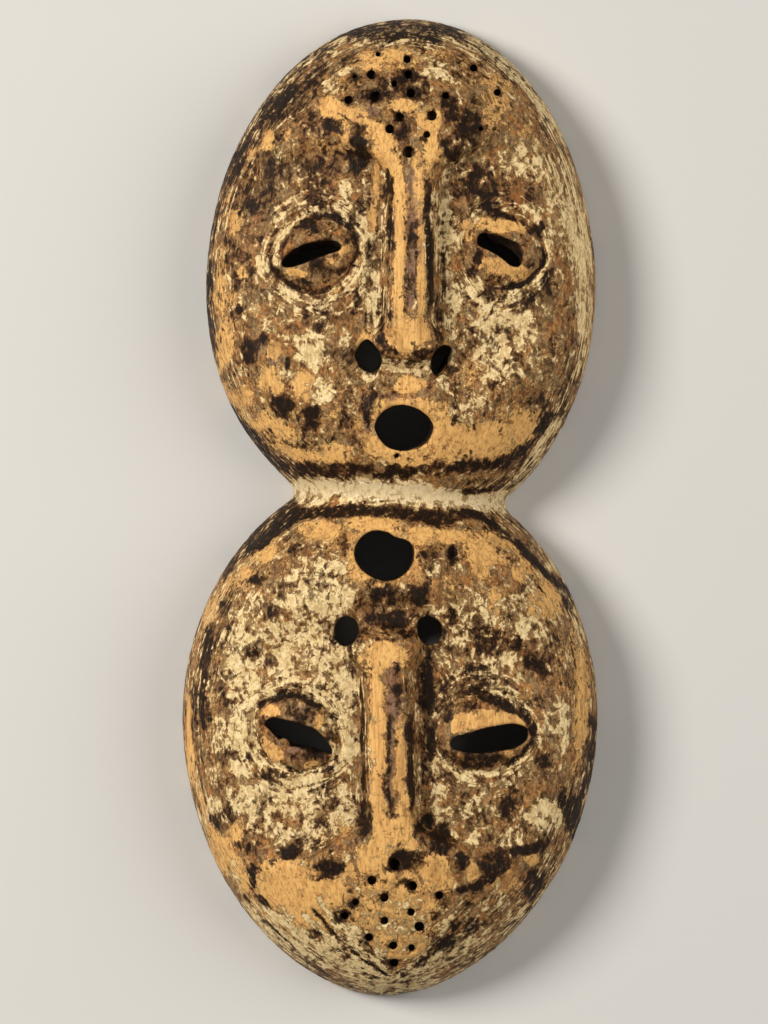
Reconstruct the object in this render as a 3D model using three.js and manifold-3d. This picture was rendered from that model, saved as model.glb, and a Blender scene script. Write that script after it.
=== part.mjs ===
// A two-faced carved wooden mask, in millimetres.
//
// Two oval faces are joined chin to chin at a narrow neck, one upright and one turned half round.
// Each face is a dome with a heart-shaped hollow under the brow, a long nose left standing in it,
// two almond eyes with cut slits, drilled nostrils, a round mouth and drilled dots on the forehead.
// The back is hollowed behind each face, and the flat rim lies on the plane z = 0.
// +X is to the right of the upright face, +Y runs towards its crown, and +Z is out of the faces.
import * as THREE from "three";
import { mergeVertices } from "three/addons/utils/BufferGeometryUtils.js";
import Module from "manifold-3d";

const wasm = await Module();
wasm.setup();

// Driving dimensions that both faces share
const WALL_AT_RIM = 7.5; // flat width of the rim that the mask lies on
const WALL_AT_CROWN = 8.5; // the same at the two crowns
const WALL_AT_TOP = 15; // from the top of the dome to the hollow behind it
const NECK_WALL = 9; // half the bridge left standing between the two hollows
const NECK_Y = 4.8; // where the chins meet
const PLAN_POWER = 2.6; // how flat the dome is on top
const SIDE_POWER = 2.2; // how square its flanks are
const CHIN_TILT = 0.047; // slope of the line where the chins meet
const NECK_FILLET = 10; // softens the crease and the waist where the faces meet
const HEART_DEPTH = 8.5; // the hollow beside the nose, below the dome
const LIP_DEPTH = 5; // the hollow between the nose's tip and the mouth
const NOSE_FLANK = 5; // how far the nose's side wall runs out
const BROW_FLANK = 13; // and how far the gentler wall under the brow does
const BROW_SLOPE = 1.6; // how steeply the nose's edge spreads where that gentler wall has taken over
const BROW_EASE = 0.75; // how much of that spread narrows the wall
const BESIDE_END = 22; // how far past the nose's tip the hollow beside it has run out
const BESIDE_BOW = 0.006; // and how much sooner away from the nose
const LIP_START = [-1.5, 3.5]; // where the hollow under the tip begins and is full, past the tip
const LIP_END = [7, 17]; // and where it begins to rise and has run out
const LIP_BOW = 0.01; // and how much sooner away from the nose
const FLANK_FADE = [0.52, 0.95]; // how far out on the dome the hollow begins to fade and has faded
const DEEPEST_SHARE = 0.5; // the hollow never takes more of the dome's height than this
const SOCKET = { out: 30, up: 15, half: [43, 44] }; // the round eye sockets that bound the heart above
const NOSE_PROUD = 1; // how far the nose stands above the dome
const NOSE_PROUD_END = [25, 55]; // where, towards the brow, it begins to sink and has sunk into the dome
const NOSE_SHOULDER = [0.5, 1.1]; // the nose's rounded shoulder, in halves of its width
const LID_RISE = 3.4; // crown of an almond eye above the hollow
const LID_STEP = 0.8; // the carved step at the eye's edge
const LID_POWER = 2.2; // how flat the eye's swelling is in its middle
const ALMOND_POWER = 1.35; // how pointed an almond's corners are
const MOUTH_POWER = 2.2; // how square the round mouths are
const DOT_DEPTH = 4.5;
const GROOVE_RADIUS = 1.7; // of the groove along each nose
const GROOVE_DEPTH = 0.9;
const GROOVE_ENDS = 0.3; // how quickly the groove reaches its depth from either end

// Each face has its own axes: u to the right of the face's upright picture, v towards its crown.
const UPPER = {
  centre: [3.9, 80.3],
  sign: 1,
  halfWidth: 71.8,
  crown: 99.7,
  chin: 88.6,
  depth: 52,
  lean: { crown: 2.4, chin: 1 },
  taper: 0,
  noseAxis: { tip: 1.6, middle: 3, root: 5 },
  noseTip: -27,
  noseHalf: 6,
  alaHalf: 10.3,
  browStart: 40,
  browRise: 21,
  browSpan: 34,
  mouth: { at: [1.4, -52], half: [11.1, 8.4] },
  nostrils: [
    { at: [-11.9, -25.8], half: [3.9, 6], tilt: 12 },
    { at: [15.2, -27.4], half: [3.8, 6.2], tilt: -12 },
  ],
  eyes: [
    {
      at: [-31.1, 11.2],
      half: [17, 14.4],
      tilt: 15,
      slit: { at: [-31.5, 11.5], half: 11.4, up: 3.4, down: 2.7, tilt: 14 },
    },
    {
      at: [37.4, 13],
      half: [15.2, 14.4],
      tilt: -16,
      slit: { at: [37.3, 12.8], half: 10.5, up: 4.4, down: 3, tilt: -24 },
    },
  ],
  groove: [43, -13],
  dots: [
    [-18.9, 67.2, 3.1], [-9.1, 68.2, 4], [-10.6, 76.5, 3.6], [2.3, 82.3, 3], [2.7, 76.5, 3.4],
    [-2.4, 73, 2.4], [3.6, 69.5, 3.5], [16.1, 68.8, 2.8], [26.5, 79.5, 2.6], [35.1, 70.5, 2.6],
    [-0.4, 60.5, 3.5], [-4, 56.2, 3.4], [11.2, 61.2, 3.9], [9.3, 54.2, 2.8], [2.8, 47.7, 4.2],
  ],
};
const LOWER = {
  centre: [0, -76.7],
  sign: -1,
  halfWidth: 76.4,
  crown: 103.3,
  chin: 90.5,
  depth: 54,
  lean: { crown: 1.6, chin: -3 },
  taper: 0.06,
  noseAxis: { tip: 2.6, middle: 0.3, root: -0.3 },
  noseTip: -31,
  noseHalf: 6.4,
  alaHalf: 10.5,
  browStart: 36,
  browRise: 20,
  browSpan: 34,
  mouth: { at: [2, -59.3], half: [10.9, 8.7] },
  nostrils: [
    { at: [15.5, -31.7], half: [4.2, 5.7], tilt: 0 },
    { at: [-14.2, -32.2], half: [4.3, 5.5], tilt: 0 },
  ],
  eyes: [
    {
      at: [33.8, 4.6],
      half: [17.2, 14.2],
      tilt: -25,
      slit: { at: [32.6, 5.6], half: 13.1, up: 3.8, down: 2.9, tilt: -26 },
    },
    {
      at: [-34, 4.3],
      half: [18.8, 15],
      tilt: 2,
      slit: { at: [-36, 6.3], half: 13.8, up: 4.2, down: 3.9, tilt: 5 },
    },
  ],
  groove: [37, -20],
  dots: [
    [-1.8, 52.1, 4.2], [6.6, 57.7, 3.6], [2.1, 64, 3.2], [-8, 59.7, 3.5], [-17.7, 63.3, 2.9],
    [12.4, 65.8, 2.6], [16.3, 70.9, 3.1], [2.1, 72.6, 2.9], [-7.5, 69.4, 2.8], [-10.5, 75, 3.5],
    [7.7, 78.9, 3], [-1.1, 82, 3], [-7.8, 82.9, 2.7], [-1.5, 88.7, 3.2],
  ],
};
const FACES = [UPPER, LOWER];

// Small helpers
const radians = (degrees) => (degrees * Math.PI) / 180;
const mix = (a, b, t) => a + (b - a) * t;
const distance = (p, q) => Math.hypot(p[0] - q[0], p[1] - q[1], p[2] - q[2]);

function ramp(from, to, x) {
  const t = Math.min(1, Math.max(0, (x - from) / (to - from)));
  return t * t * (3 - 2 * t);
}

// The larger of two heights, with the crease between them filleted
function joined(a, b, fillet) {
  const h = Math.max(0, 1 - Math.abs(a - b) / fillet);
  return Math.max(a, b) + (h * h * fillet) / 4;
}

const toFace = (face, x, y) => [face.sign * (x - face.centre[0]), face.sign * (y - face.centre[1])];
const fromFace = (face, u, v) => [face.centre[0] + face.sign * u, face.centre[1] + face.sign * v];
const faceAt = (y) => (y > NECK_Y ? UPPER : LOWER);

// The middle of the outline, which leans a little towards the crown and towards the chin
function leanAt(face, v) {
  return v > 0 ? face.lean.crown * (v / face.crown) ** 2 : face.lean.chin * (v / face.chin) ** 2;
}

// How far along from the centre towards the crown or the chin a place is. The chins' ends are cut aslant.
function alongAt(face, u, v) {
  return v > 0 ? v / face.crown : (v + CHIN_TILT * u * (v / face.chin) ** 2) / face.chin;
}

// Half the face's width before its oval closes: a pointed crown tapers
function widthAt(face, v) {
  const left = Math.max(0, 1 - (v / face.crown) ** 2);
  return v > 0 ? face.halfWidth * left ** face.taper : face.halfWidth;
}

// How far out a place is: 0 at the face's centre and 1 on its outline
function planRadius(face, u, v) {
  const width = Math.max(1e-3, widthAt(face, v));
  return Math.hypot((u - leanAt(face, v)) / width, alongAt(face, u, v));
}

function dome(face, u, v) {
  const left = 1 - planRadius(face, u, v) ** PLAN_POWER;
  return left > 0 ? face.depth * left ** (1 / SIDE_POWER) : 0;
}

// The nose's middle line, which bends a little on its way from the tip to the root between the brows
const NOSE_ROOT = 60; // how far above the face's middle the root is

function noseAxis(face, v) {
  const { tip, middle, root } = face.noseAxis;
  return v < 0 ? mix(middle, tip, ramp(0, face.noseTip, v)) : mix(middle, root, ramp(0, NOSE_ROOT, v));
}

// Half the width of what the heart-shaped hollow leaves standing: the nose, then the brow spreading out
const WINGS = [14, 3]; // where the nose begins to widen and is widest, above its tip

function standingHalf(face, v) {
  const [begin, full] = WINGS.map((above) => face.noseTip + above);
  const ala = (face.alaHalf - face.noseHalf) * ramp(begin, full, v);
  const brow = v > face.browStart ? face.browSpan * ((v - face.browStart) / face.browRise) ** 2 : 0;
  return face.noseHalf + ala + brow;
}

// How far inside the eye sockets' rounded upper edge a place is
function insideSockets(across, v) {
  const [wide, high] = SOCKET.half;
  return wide * (1 - Math.hypot((Math.abs(across) - SOCKET.out) / wide, Math.max(0, v - SOCKET.up) / high));
}

// How much the heart-shaped hollow takes off the dome
const SLOPE_STEP = 0.5; // how far apart the nose's half width is taken for its slope

function hollowed(face, u, v) {
  const half = standingHalf(face, v);
  const slope = (standingHalf(face, v + SLOPE_STEP) - half) / SLOPE_STEP;
  const across = u - noseAxis(face, v);
  const out = (Math.abs(across) - half) / Math.hypot(1, BROW_EASE * slope);
  const pastTip = face.noseTip - v;
  const flank = mix(NOSE_FLANK, BROW_FLANK, ramp(0, BROW_SLOPE, Math.abs(slope)));
  const beside = Math.min(ramp(0, flank, out), ramp(0, BROW_FLANK, insideSockets(across, v)));
  const besideFade = 1 - ramp(0, BESIDE_END, pastTip + BESIDE_BOW * across ** 2);
  const belowFade = 1 - ramp(...LIP_END, pastTip + LIP_BOW * across ** 2);
  const belowTip = ramp(...LIP_START, pastTip) * belowFade;
  const towardsFlank = 1 - ramp(...FLANK_FADE, planRadius(face, u, v));
  return Math.max(HEART_DEPTH * beside * besideFade, LIP_DEPTH * belowTip) * towardsFlank;
}

// How far the nose stands above the dome at a place
function noseRise(face, u, v) {
  const out = Math.abs(u - noseAxis(face, v)) / standingHalf(face, v);
  const along = ramp(face.noseTip - 1, face.noseTip + 3, v) * (1 - ramp(...NOSE_PROUD_END, v));
  return NOSE_PROUD * (1 - ramp(...NOSE_SHOULDER, out)) * along;
}

// Height of the carved front at x, y, without the almond eyes
function front(x, y) {
  const heights = FACES.map((face) => {
    const [u, v] = toFace(face, x, y);
    const top = dome(face, u, v);
    if (top === 0) return 0;
    return top - Math.min(hollowed(face, u, v), DEEPEST_SHARE * top) + noseRise(face, u, v);
  });
  return joined(heights[0], heights[1], NECK_FILLET);
}

// The outline's two edges in a face's own u, at v. The slope of the chin's line is met by repeating.
const EDGE_PASSES = 6;

function edgesOf(face, v) {
  if (Math.abs(alongAt(face, 0, v)) >= 1) return null;
  const middle = leanAt(face, v);
  return [-1, 1].map((side) => {
    let u = middle;
    for (let pass = 0; pass < EDGE_PASSES; pass++) {
      u = middle + side * widthAt(face, v) * Math.sqrt(Math.max(0, 1 - alongAt(face, u, v) ** 2));
    }
    return u;
  });
}

// The same in x, at y, over both faces, with the waist rounded
function outlineAt(y) {
  const middle = (UPPER.centre[0] + LOWER.centre[0]) / 2;
  const reaches = FACES.map((face) => {
    const edges = edgesOf(face, toFace(face, 0, y)[1]);
    if (!edges) return [-NECK_FILLET, -NECK_FILLET];
    const xs = edges.map((u) => fromFace(face, u, 0)[0]).sort((a, b) => a - b);
    return [middle - xs[0], xs[1] - middle];
  });
  const reach = (side) => joined(reaches[0][side], reaches[1][side], NECK_FILLET);
  return [middle - reach(0), middle + reach(1)];
}

// A geometry as a solid that can be joined and cut
const WELD = 1e-4; // corners nearer than this are one

function solidOf(geometry) {
  const loose = geometry.index ? geometry.toNonIndexed() : geometry;
  const bare = new THREE.BufferGeometry().setAttribute("position", loose.getAttribute("position"));
  const merged = mergeVertices(bare, WELD);
  const vertProperties = new Float32Array(merged.attributes.position.array);
  const triVerts = new Uint32Array(merged.index.array);
  return new wasm.Manifold(new wasm.Mesh({ numProp: 3, vertProperties, triVerts }));
}

// A geometry from a list of points and a list of triangles
function geometryOf(points, triangles) {
  const geometry = new THREE.BufferGeometry();
  geometry.setAttribute("position", new THREE.BufferAttribute(new Float32Array(points.flat()), 3));
  geometry.setIndex(triangles.flat());
  return geometry;
}

// A closed body from rows of points that run from one rim to the other, closed flat below and pointed
// at both ends. Each four-sided facet is split along its shorter diagonal, so that edges stay crisp.
function lofted(first, rows, last) {
  const points = [first, ...rows.flat(), last];
  const across = rows[0].length;
  const at = (row, column) => 1 + row * across + column;
  const end = points.length - 1;
  const triangles = [];
  for (let column = 0; column < across - 1; column++) {
    triangles.push([0, at(0, column + 1), at(0, column)]);
    triangles.push([end, at(rows.length - 1, column), at(rows.length - 1, column + 1)]);
    for (let row = 0; row < rows.length - 1; row++) {
      const [a, b] = [at(row, column), at(row, column + 1)];
      const [c, d] = [at(row + 1, column), at(row + 1, column + 1)];
      const alongFirst = distance(points[a], points[d]) < distance(points[b], points[c]);
      triangles.push(...(alongFirst ? [[a, b, d], [a, d, c]] : [[a, b, c], [b, d, c]]));
    }
  }
  const right = across - 1;
  triangles.push([0, at(0, 0), at(0, right)]);
  triangles.push([end, at(rows.length - 1, right), at(rows.length - 1, 0)]);
  for (let row = 0; row < rows.length - 1; row++) {
    triangles.push([at(row, right), at(row, 0), at(row + 1, 0)]);
    triangles.push([at(row, right), at(row + 1, 0), at(row + 1, right)]);
  }
  return solidOf(geometryOf(points, triangles));
}

// The mask's outer form, as rows of facets across it
const ROW_STEP = 5.6;
const BROW_ROW_STEP = 4.2;
const CROWN_ROWS = [0.0035, 0.016, 0.04, 0.075]; // shares of the crown's length, from its end
const EVEN_FROM = 0.12; // and where the even rows begin
const ROW_CLEAR = 0.45; // an even row nearer than this share of a step to a kept one is left out
const TIP_ROWS = [-3, 1]; // before and after each nose's tip
const NECK_ROWS = [-4, 0, 4];
const OUTER_COLUMNS = 12;

// Places along Y: close together at the crowns and the brows, even between them, with a pair at each
// nose's tip and three at the neck
function rowPlaces() {
  const bottom = LOWER.centre[1] - LOWER.crown;
  const top = UPPER.centre[1] + UPPER.crown;
  const places = [];
  for (const share of CROWN_ROWS) {
    places.push(bottom + share * LOWER.crown, top - share * UPPER.crown);
  }
  const from = bottom + EVEN_FROM * LOWER.crown;
  const to = top - EVEN_FROM * UPPER.crown;
  const count = Math.round((to - from) / ROW_STEP);
  const kept = NECK_ROWS.map((past) => NECK_Y + past);
  for (const face of FACES) {
    for (const past of TIP_ROWS) kept.push(fromFace(face, 0, face.noseTip + past)[1]);
    for (let past = 0; past <= face.browRise; past += BROW_ROW_STEP) {
      kept.push(fromFace(face, 0, face.browStart + past)[1]);
    }
  }
  for (let i = 0; i <= count; i++) {
    const y = mix(from, to, i / count);
    if (kept.every((place) => Math.abs(place - y) > ROW_CLEAR * ROW_STEP)) places.push(y);
  }
  return [...places, ...kept].sort((a, b) => a - b);
}

// One row from the left rim to the right. Its middle columns follow the nose's edges and its flanks' feet.
const AXIS_FADE = [70, 95]; // where the columns leave the nose's line and gather at a crown
const NARROW_HALF = 0.4; // near a crown the nose's edge keeps to this share of the row
const NARROW_FOOT = 0.55; // and its flank's foot to this
const LOWEST = 0.02; // keeps every inner point of a row above the rim

function frontRow(y) {
  const [left, right] = outlineAt(y);
  const face = faceAt(y);
  const v = toFace(face, 0, y)[1];
  const ownAxis = fromFace(face, noseAxis(face, v), 0)[0];
  const axis = mix(ownAxis, (left + right) / 2, ramp(...AXIS_FADE, Math.abs(v)));
  const xs = [axis];
  for (const [edge, side] of [[left, -1], [right, 1]]) {
    const reach = Math.abs(edge - axis);
    const half = Math.min(standingHalf(face, v), NARROW_HALF * reach);
    const foot = Math.min(half + NOSE_FLANK, NARROW_FOOT * reach);
    const part = [half / 2, half, (half + foot) / 2, foot];
    for (let i = 1; i <= OUTER_COLUMNS; i++) {
      part.push(foot + (reach - foot) * Math.sin((Math.PI / 2) * (i / OUTER_COLUMNS)));
    }
    const placed = part.map((offset) => axis + side * offset);
    if (side < 0) xs.unshift(...placed.reverse());
    else xs.push(...placed);
  }
  const last = xs.length - 1;
  return xs.map((x, i) => [x, y, i === 0 || i === last ? 0 : Math.max(LOWEST, front(x, y))]);
}

function outerForm() {
  const tipAt = (face) => [...fromFace(face, face.lean.crown, face.crown), 0];
  return lofted(tipAt(LOWER), rowPlaces().map(frontRow), tipAt(UPPER));
}

// The hollow behind a face: a smaller, boxier dome that stops short of the neck
const HOLLOW_POWER = 3;
const HOLLOW_ROWS = 14;
const HOLLOW_COLUMNS = 14;
const BELOW = 4; // how far a cutting body reaches past the surface that it cuts
const OVERLAP = 0.05; // and two bodies that are joined into one another

function hollowBehind(face) {
  const halfWidth = face.halfWidth - WALL_AT_RIM;
  const crown = face.crown - WALL_AT_CROWN;
  const chin = Math.abs(face.centre[1] - NECK_Y) - NECK_WALL;
  const depth = face.depth - WALL_AT_TOP;
  const rows = [];
  for (let i = 1; i < HOLLOW_ROWS; i++) {
    const along = -Math.cos((Math.PI * i) / HOLLOW_ROWS);
    const y = face.centre[1] + face.sign * along * (along > 0 ? crown : chin);
    const reach = halfWidth * Math.sqrt(1 - along * along);
    const middle = fromFace(face, leanAt(face, face.sign * (y - face.centre[1])), 0)[0];
    const row = [];
    for (let j = 0; j <= HOLLOW_COLUMNS; j++) {
      const across = -Math.cos((Math.PI * j) / HOLLOW_COLUMNS);
      const radius = Math.min(1, Math.hypot(across * Math.sqrt(1 - along * along), along));
      const height = depth * (1 - radius ** HOLLOW_POWER) ** (1 / SIDE_POWER);
      row.push([middle + reach * across, y, height]);
    }
    rows.push(row);
  }
  const ends = [-chin, crown].map((v) => [...fromFace(face, leanAt(face, v), v), 0]);
  if (face.sign < 0) rows.reverse();
  const [first, last] = face.sign < 0 ? [ends[1], ends[0]] : ends;
  const cap = lofted(first, rows, last);
  const rightEdge = rows.map((row) => row[HOLLOW_COLUMNS]);
  const leftEdge = rows.map((row) => row[0]).reverse();
  return cap.add(upright([first, ...rightEdge, last, ...leftEdge], -BELOW, OVERLAP));
}

const shapeOf = (outline) => new THREE.Shape(outline.map(([x, y]) => new THREE.Vector2(x, y)));

// A straight-sided body over a closed outline, from one height to another
function upright(outline, from, to) {
  const options = { depth: to - from, bevelEnabled: false };
  return solidOf(new THREE.ExtrudeGeometry(shapeOf(outline), options).translate(0, 0, from));
}

// Turns an outline given about its own middle, in a face's axes, into x, y
function placed(face, at, tilt, outline) {
  const c = Math.cos(radians(tilt));
  const s = Math.sin(radians(tilt));
  return outline.map(([a, b]) => fromFace(face, at[0] + a * c - b * s, at[1] + a * s + b * c));
}

// A round outline, the squarer the higher its power
function roundOutline(half, power, count) {
  return Array.from({ length: count }, (_, i) => {
    const angle = (2 * Math.PI * i) / count;
    const [c, s] = [Math.cos(angle), Math.sin(angle)];
    const at = (value) => Math.sign(value) * Math.abs(value) ** (2 / power);
    return [half[0] * at(c), half[1] * at(s)];
  });
}

// A slit with rather blunt ends, arched by its own amount on each side
function slitOutline(half, up, down, count) {
  const arch = (rise, from, to) =>
    Array.from({ length: count }, (_, i) => {
      const a = mix((from + to) / 2, from, Math.cos((Math.PI * i) / count));
      return [a, rise * Math.sqrt(1 - (a / half) ** 2)];
    });
  return [...arch(up, half, -half), ...arch(-down, -half, half)];
}

// An almond's outline, pointed at both ends
const ALMOND_RINGS = 3;
const ALMOND_SIDES = 24;

function almondOutline([long, high]) {
  return Array.from({ length: ALMOND_SIDES }, (_, i) => {
    const angle = (2 * Math.PI * i) / ALMOND_SIDES;
    const a = long * Math.cos(angle);
    const b = high * Math.max(0, 1 - (a / long) ** 2) ** (1 / ALMOND_POWER);
    const atCorner = i % (ALMOND_SIDES / 2) === 0;
    return [a, atCorner ? 0 : Math.sign(Math.sin(angle)) * b];
  });
}

// An almond eye: a low swelling that follows the hollow, with a step at its edge
function almondEye(face, eye) {
  const outline = almondOutline(eye.half);
  const ringAt = (share) => placed(face, eye.at, eye.tilt, outline.map(([a, b]) => [a * share, b * share]));
  const lidAt = (x, y, share) => [x, y, front(x, y) + LID_STEP + LID_RISE * (1 - share ** LID_POWER)];
  const middle = fromFace(face, ...eye.at);
  const points = [lidAt(...middle, 0)];
  for (let ring = 1; ring <= ALMOND_RINGS; ring++) {
    const share = ring / ALMOND_RINGS;
    points.push(...ringAt(share).map(([x, y]) => lidAt(x, y, share)));
  }
  points.push(...[...ringAt(1), middle].map(([x, y]) => [x, y, front(x, y) - BELOW]));
  const triangles = [];
  const at = (ring, i) => 1 + (ring - 1) * ALMOND_SIDES + (i % ALMOND_SIDES);
  for (let i = 0; i < ALMOND_SIDES; i++) {
    triangles.push([0, at(1, i), at(1, i + 1)]);
    for (let ring = 1; ring <= ALMOND_RINGS; ring++) {
      triangles.push([at(ring, i), at(ring + 1, i), at(ring + 1, i + 1)]);
      triangles.push([at(ring, i), at(ring + 1, i + 1), at(ring, i + 1)]);
    }
    triangles.push([points.length - 1, at(ALMOND_RINGS + 1, i + 1), at(ALMOND_RINGS + 1, i)]);
  }
  return solidOf(geometryOf(points, triangles));
}

// What is cut through a face: its eye slits, nostrils and mouth
const THROUGH = 90;
const SLIT_STEPS = 8;
const NOSTRIL_SIDES = 12;
const MOUTH_SIDES = 20;

function cutsThrough(face) {
  const outlines = [];
  for (const { slit } of face.eyes) {
    outlines.push(placed(face, slit.at, slit.tilt, slitOutline(slit.half, slit.up, slit.down, SLIT_STEPS)));
  }
  for (const { at, half, tilt } of face.nostrils) {
    outlines.push(placed(face, at, tilt, roundOutline(half, 2, NOSTRIL_SIDES)));
  }
  outlines.push(placed(face, face.mouth.at, 0, roundOutline(face.mouth.half, MOUTH_POWER, MOUTH_SIDES)));
  return outlines.map((outline) => upright(outline, -BELOW, THROUGH));
}

// A drilled dot, straight into the forehead
const DOT_SIDES = 7;
const DRILL_ABOVE = 10; // clears the slope of the forehead round the dot

function drilledDot(face, [u, v, width]) {
  const [x, y] = fromFace(face, u, v);
  const length = DOT_DEPTH + DRILL_ABOVE;
  const drill = new THREE.CylinderGeometry(width / 2, width / 2, length, DOT_SIDES).rotateX(Math.PI / 2);
  return solidOf(drill.translate(x, y, front(x, y) - DOT_DEPTH + length / 2));
}

// The groove along a nose, cut by a thin rod laid on its ridge
const GROOVE_STEPS = 9;
const ROD_SIDES = 8;

function noseGroove(face) {
  const [from, to] = face.groove;
  const points = Array.from({ length: GROOVE_STEPS + 1 }, (_, i) => {
    const v = mix(from, to, i / GROOVE_STEPS);
    const [x, y] = fromFace(face, noseAxis(face, v), v);
    const deep = Math.sin((Math.PI * (i + 0.5)) / (GROOVE_STEPS + 1)) ** GROOVE_ENDS;
    return new THREE.Vector3(x, y, front(x, y) + GROOVE_RADIUS - GROOVE_DEPTH * deep);
  });
  const section = shapeOf(roundOutline([GROOVE_RADIUS, GROOVE_RADIUS], 2, ROD_SIDES));
  const extrudePath = new THREE.CatmullRomCurve3(points);
  const rod = new THREE.ExtrudeGeometry(section, { steps: GROOVE_STEPS, extrudePath, bevelEnabled: false });
  return solidOf(rod);
}

// The whole mask in one solid
function carvedMask() {
  let body = outerForm();
  for (const face of FACES) {
    for (const eye of face.eyes) body = body.add(almondEye(face, eye));
  }
  for (const face of FACES) {
    const dots = face.dots.map((dot) => drilledDot(face, dot));
    const cuts = [hollowBehind(face), ...cutsThrough(face), noseGroove(face), ...dots];
    for (const cut of cuts) body = body.subtract(cut);
  }
  return body;
}

// A solid as a mesh under its own name
function meshOf(solid, name, material) {
  const made = solid.getMesh();
  const positions = new Float32Array(made.numVert * 3);
  for (let i = 0; i < made.numVert; i++) {
    positions.set(made.vertProperties.subarray(i * made.numProp, i * made.numProp + 3), i * 3);
  }
  const geometry = new THREE.BufferGeometry();
  geometry.setAttribute("position", new THREE.BufferAttribute(positions, 3));
  geometry.setIndex(new THREE.BufferAttribute(new Uint32Array(made.triVerts), 1));
  geometry.computeVertexNormals();
  const mesh = new THREE.Mesh(geometry, material);
  mesh.name = name;
  return mesh;
}

const wood = new THREE.MeshStandardMaterial({ color: 0x9c7448, roughness: 0.78, metalness: 0 });

const mask = new THREE.Group();
mask.add(meshOf(carvedMask(), "mask", wood));

export default mask;
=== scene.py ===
"""A two-faced carved wooden mask, lying face up on its flat back rim.

The fine surface is worked out as a solid field on a grid and turned into one closed mesh. Then its
paint is laid on as soft strokes, and the material breaks these up into worn wood, rubbed white clay
and dark patina, with painted shade in the holes, the cuts, the pits of the crust and along the outline,
and painted light on the neck. Lengths are in millimetres up to the mesh, which is in metres as the frame is.
"""
import itertools
import math

import bpy
import numpy as np
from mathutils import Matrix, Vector


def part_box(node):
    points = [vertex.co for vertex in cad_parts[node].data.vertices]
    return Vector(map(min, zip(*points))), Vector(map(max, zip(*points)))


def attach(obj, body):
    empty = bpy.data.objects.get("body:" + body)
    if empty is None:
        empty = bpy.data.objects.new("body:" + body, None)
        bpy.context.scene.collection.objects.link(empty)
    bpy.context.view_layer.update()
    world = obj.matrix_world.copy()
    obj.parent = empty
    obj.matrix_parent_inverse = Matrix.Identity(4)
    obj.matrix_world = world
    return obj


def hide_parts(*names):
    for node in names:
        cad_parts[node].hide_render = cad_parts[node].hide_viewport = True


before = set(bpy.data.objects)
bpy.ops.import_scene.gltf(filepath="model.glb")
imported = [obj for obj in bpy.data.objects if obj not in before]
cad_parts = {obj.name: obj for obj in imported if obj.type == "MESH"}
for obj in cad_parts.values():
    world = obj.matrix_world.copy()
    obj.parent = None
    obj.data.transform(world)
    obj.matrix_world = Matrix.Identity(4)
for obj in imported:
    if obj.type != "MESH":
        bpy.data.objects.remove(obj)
bpy.context.view_layer.update()

MM = 0.001
CELL = 0.72  # spacing of the grid that finds the surface
MOST_TRIANGLES = 190000

# The photograph: its frame, the pixel that shows the mask's origin, and its scale at the back rim
PHOTO_WIDTH, PHOTO_HEIGHT = 768, 1024
ORIGIN_PIXEL = (390, 507.5)
MM_PER_PIXEL = 360 / 975
CAMERA_HEIGHT = 2000
SENSOR = 36
FACE_HEIGHT = 46  # where most of the front lies, for placing what is read off the photograph


def camera_place():
    """The point on the table under the camera, in mm."""
    x = (PHOTO_WIDTH / 2 - ORIGIN_PIXEL[0]) * MM_PER_PIXEL
    y = (ORIGIN_PIXEL[1] - PHOTO_HEIGHT / 2) * MM_PER_PIXEL
    return x, y


def from_photo(px, py, height=FACE_HEIGHT):
    """Where a pixel of the photograph lies on the mask's front, in mm."""
    cx, cy = camera_place()
    scale = MM_PER_PIXEL * (CAMERA_HEIGHT - height) / CAMERA_HEIGHT
    return cx + (px - PHOTO_WIDTH / 2) * scale, cy - (py - PHOTO_HEIGHT / 2) * scale


def to_photo(x, y, z):
    """The pixel that shows a point of the mask."""
    cx, cy = camera_place()
    scale = MM_PER_PIXEL * (CAMERA_HEIGHT - z) / CAMERA_HEIGHT
    return PHOTO_WIDTH / 2 + (x - cx) / scale, PHOTO_HEIGHT / 2 - (y - cy) / scale


def add_camera():
    cx, cy = camera_place()
    camera = bpy.data.cameras.new("camera")
    camera.sensor_width = SENSOR
    camera.lens = SENSOR * CAMERA_HEIGHT / (PHOTO_HEIGHT * MM_PER_PIXEL)
    holder = bpy.data.objects.new("camera", camera)
    holder.location = (cx * MM, cy * MM, CAMERA_HEIGHT * MM)
    bpy.context.scene.collection.objects.link(holder)
    bpy.context.scene.camera = holder


# Sizes that both faces share
WALL_AT_RIM = 7.5
CROWN_WALL_MORE = 1
WALL_AT_TOP = 15
NECK_WALL = 9
NECK_Y = 4.8
PLAN_POWER = 2.6
SIDE_POWER = 2.2
HOLLOW_POWER = 3
CHIN_TILT = 0.047
NECK_FILLET = 7.5
RIM_ROUNDING = 1.4
HOLE_ROUNDING = 1.1
HEART_DEPTH = 8.5
LIP_DEPTH = 5
NOSE_FLANK = 5
BROW_FLANK = 13
SOCKET_OUT, SOCKET_UP = 30, 15
SOCKET_HALF = (43, 44)
NOSE_PROUD = 1
LID_RISE = 4
LID_GROOVE = 0.7
LID_GROOVE_WIDTH = 1.1
LID_RIM = 0.4
DOT_DEPTH, DOT_ROOM = 4.5, 3
NOSE_GROOVE_DEPTH = 1
NOSE_GROOVE_WIDTH = 1.2
NOSE_ROOT = 60  # the nose's axis runs straight from this far above a face's middle
WING_RISE = (14, 3)  # where the nose's wings begin and are full, above its tip
BROW_SLOPE = 1.6  # a line of the brow that runs across as steeply as this has the brow's wide flank
SLOPE_SHARE = 0.75
BESIDE_END = 22  # where the hollow beside the nose fades out below its tip
BESIDE_BOW, TIP_BOW, LIP_BOW = 0.006, 0.02, 0.01  # how far these ends are bowed, for each square mm
LIP_START, LIP_END = (-1.5, 4.5), (7, 18)  # the hollow of the lip, below the nose's tip
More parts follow.
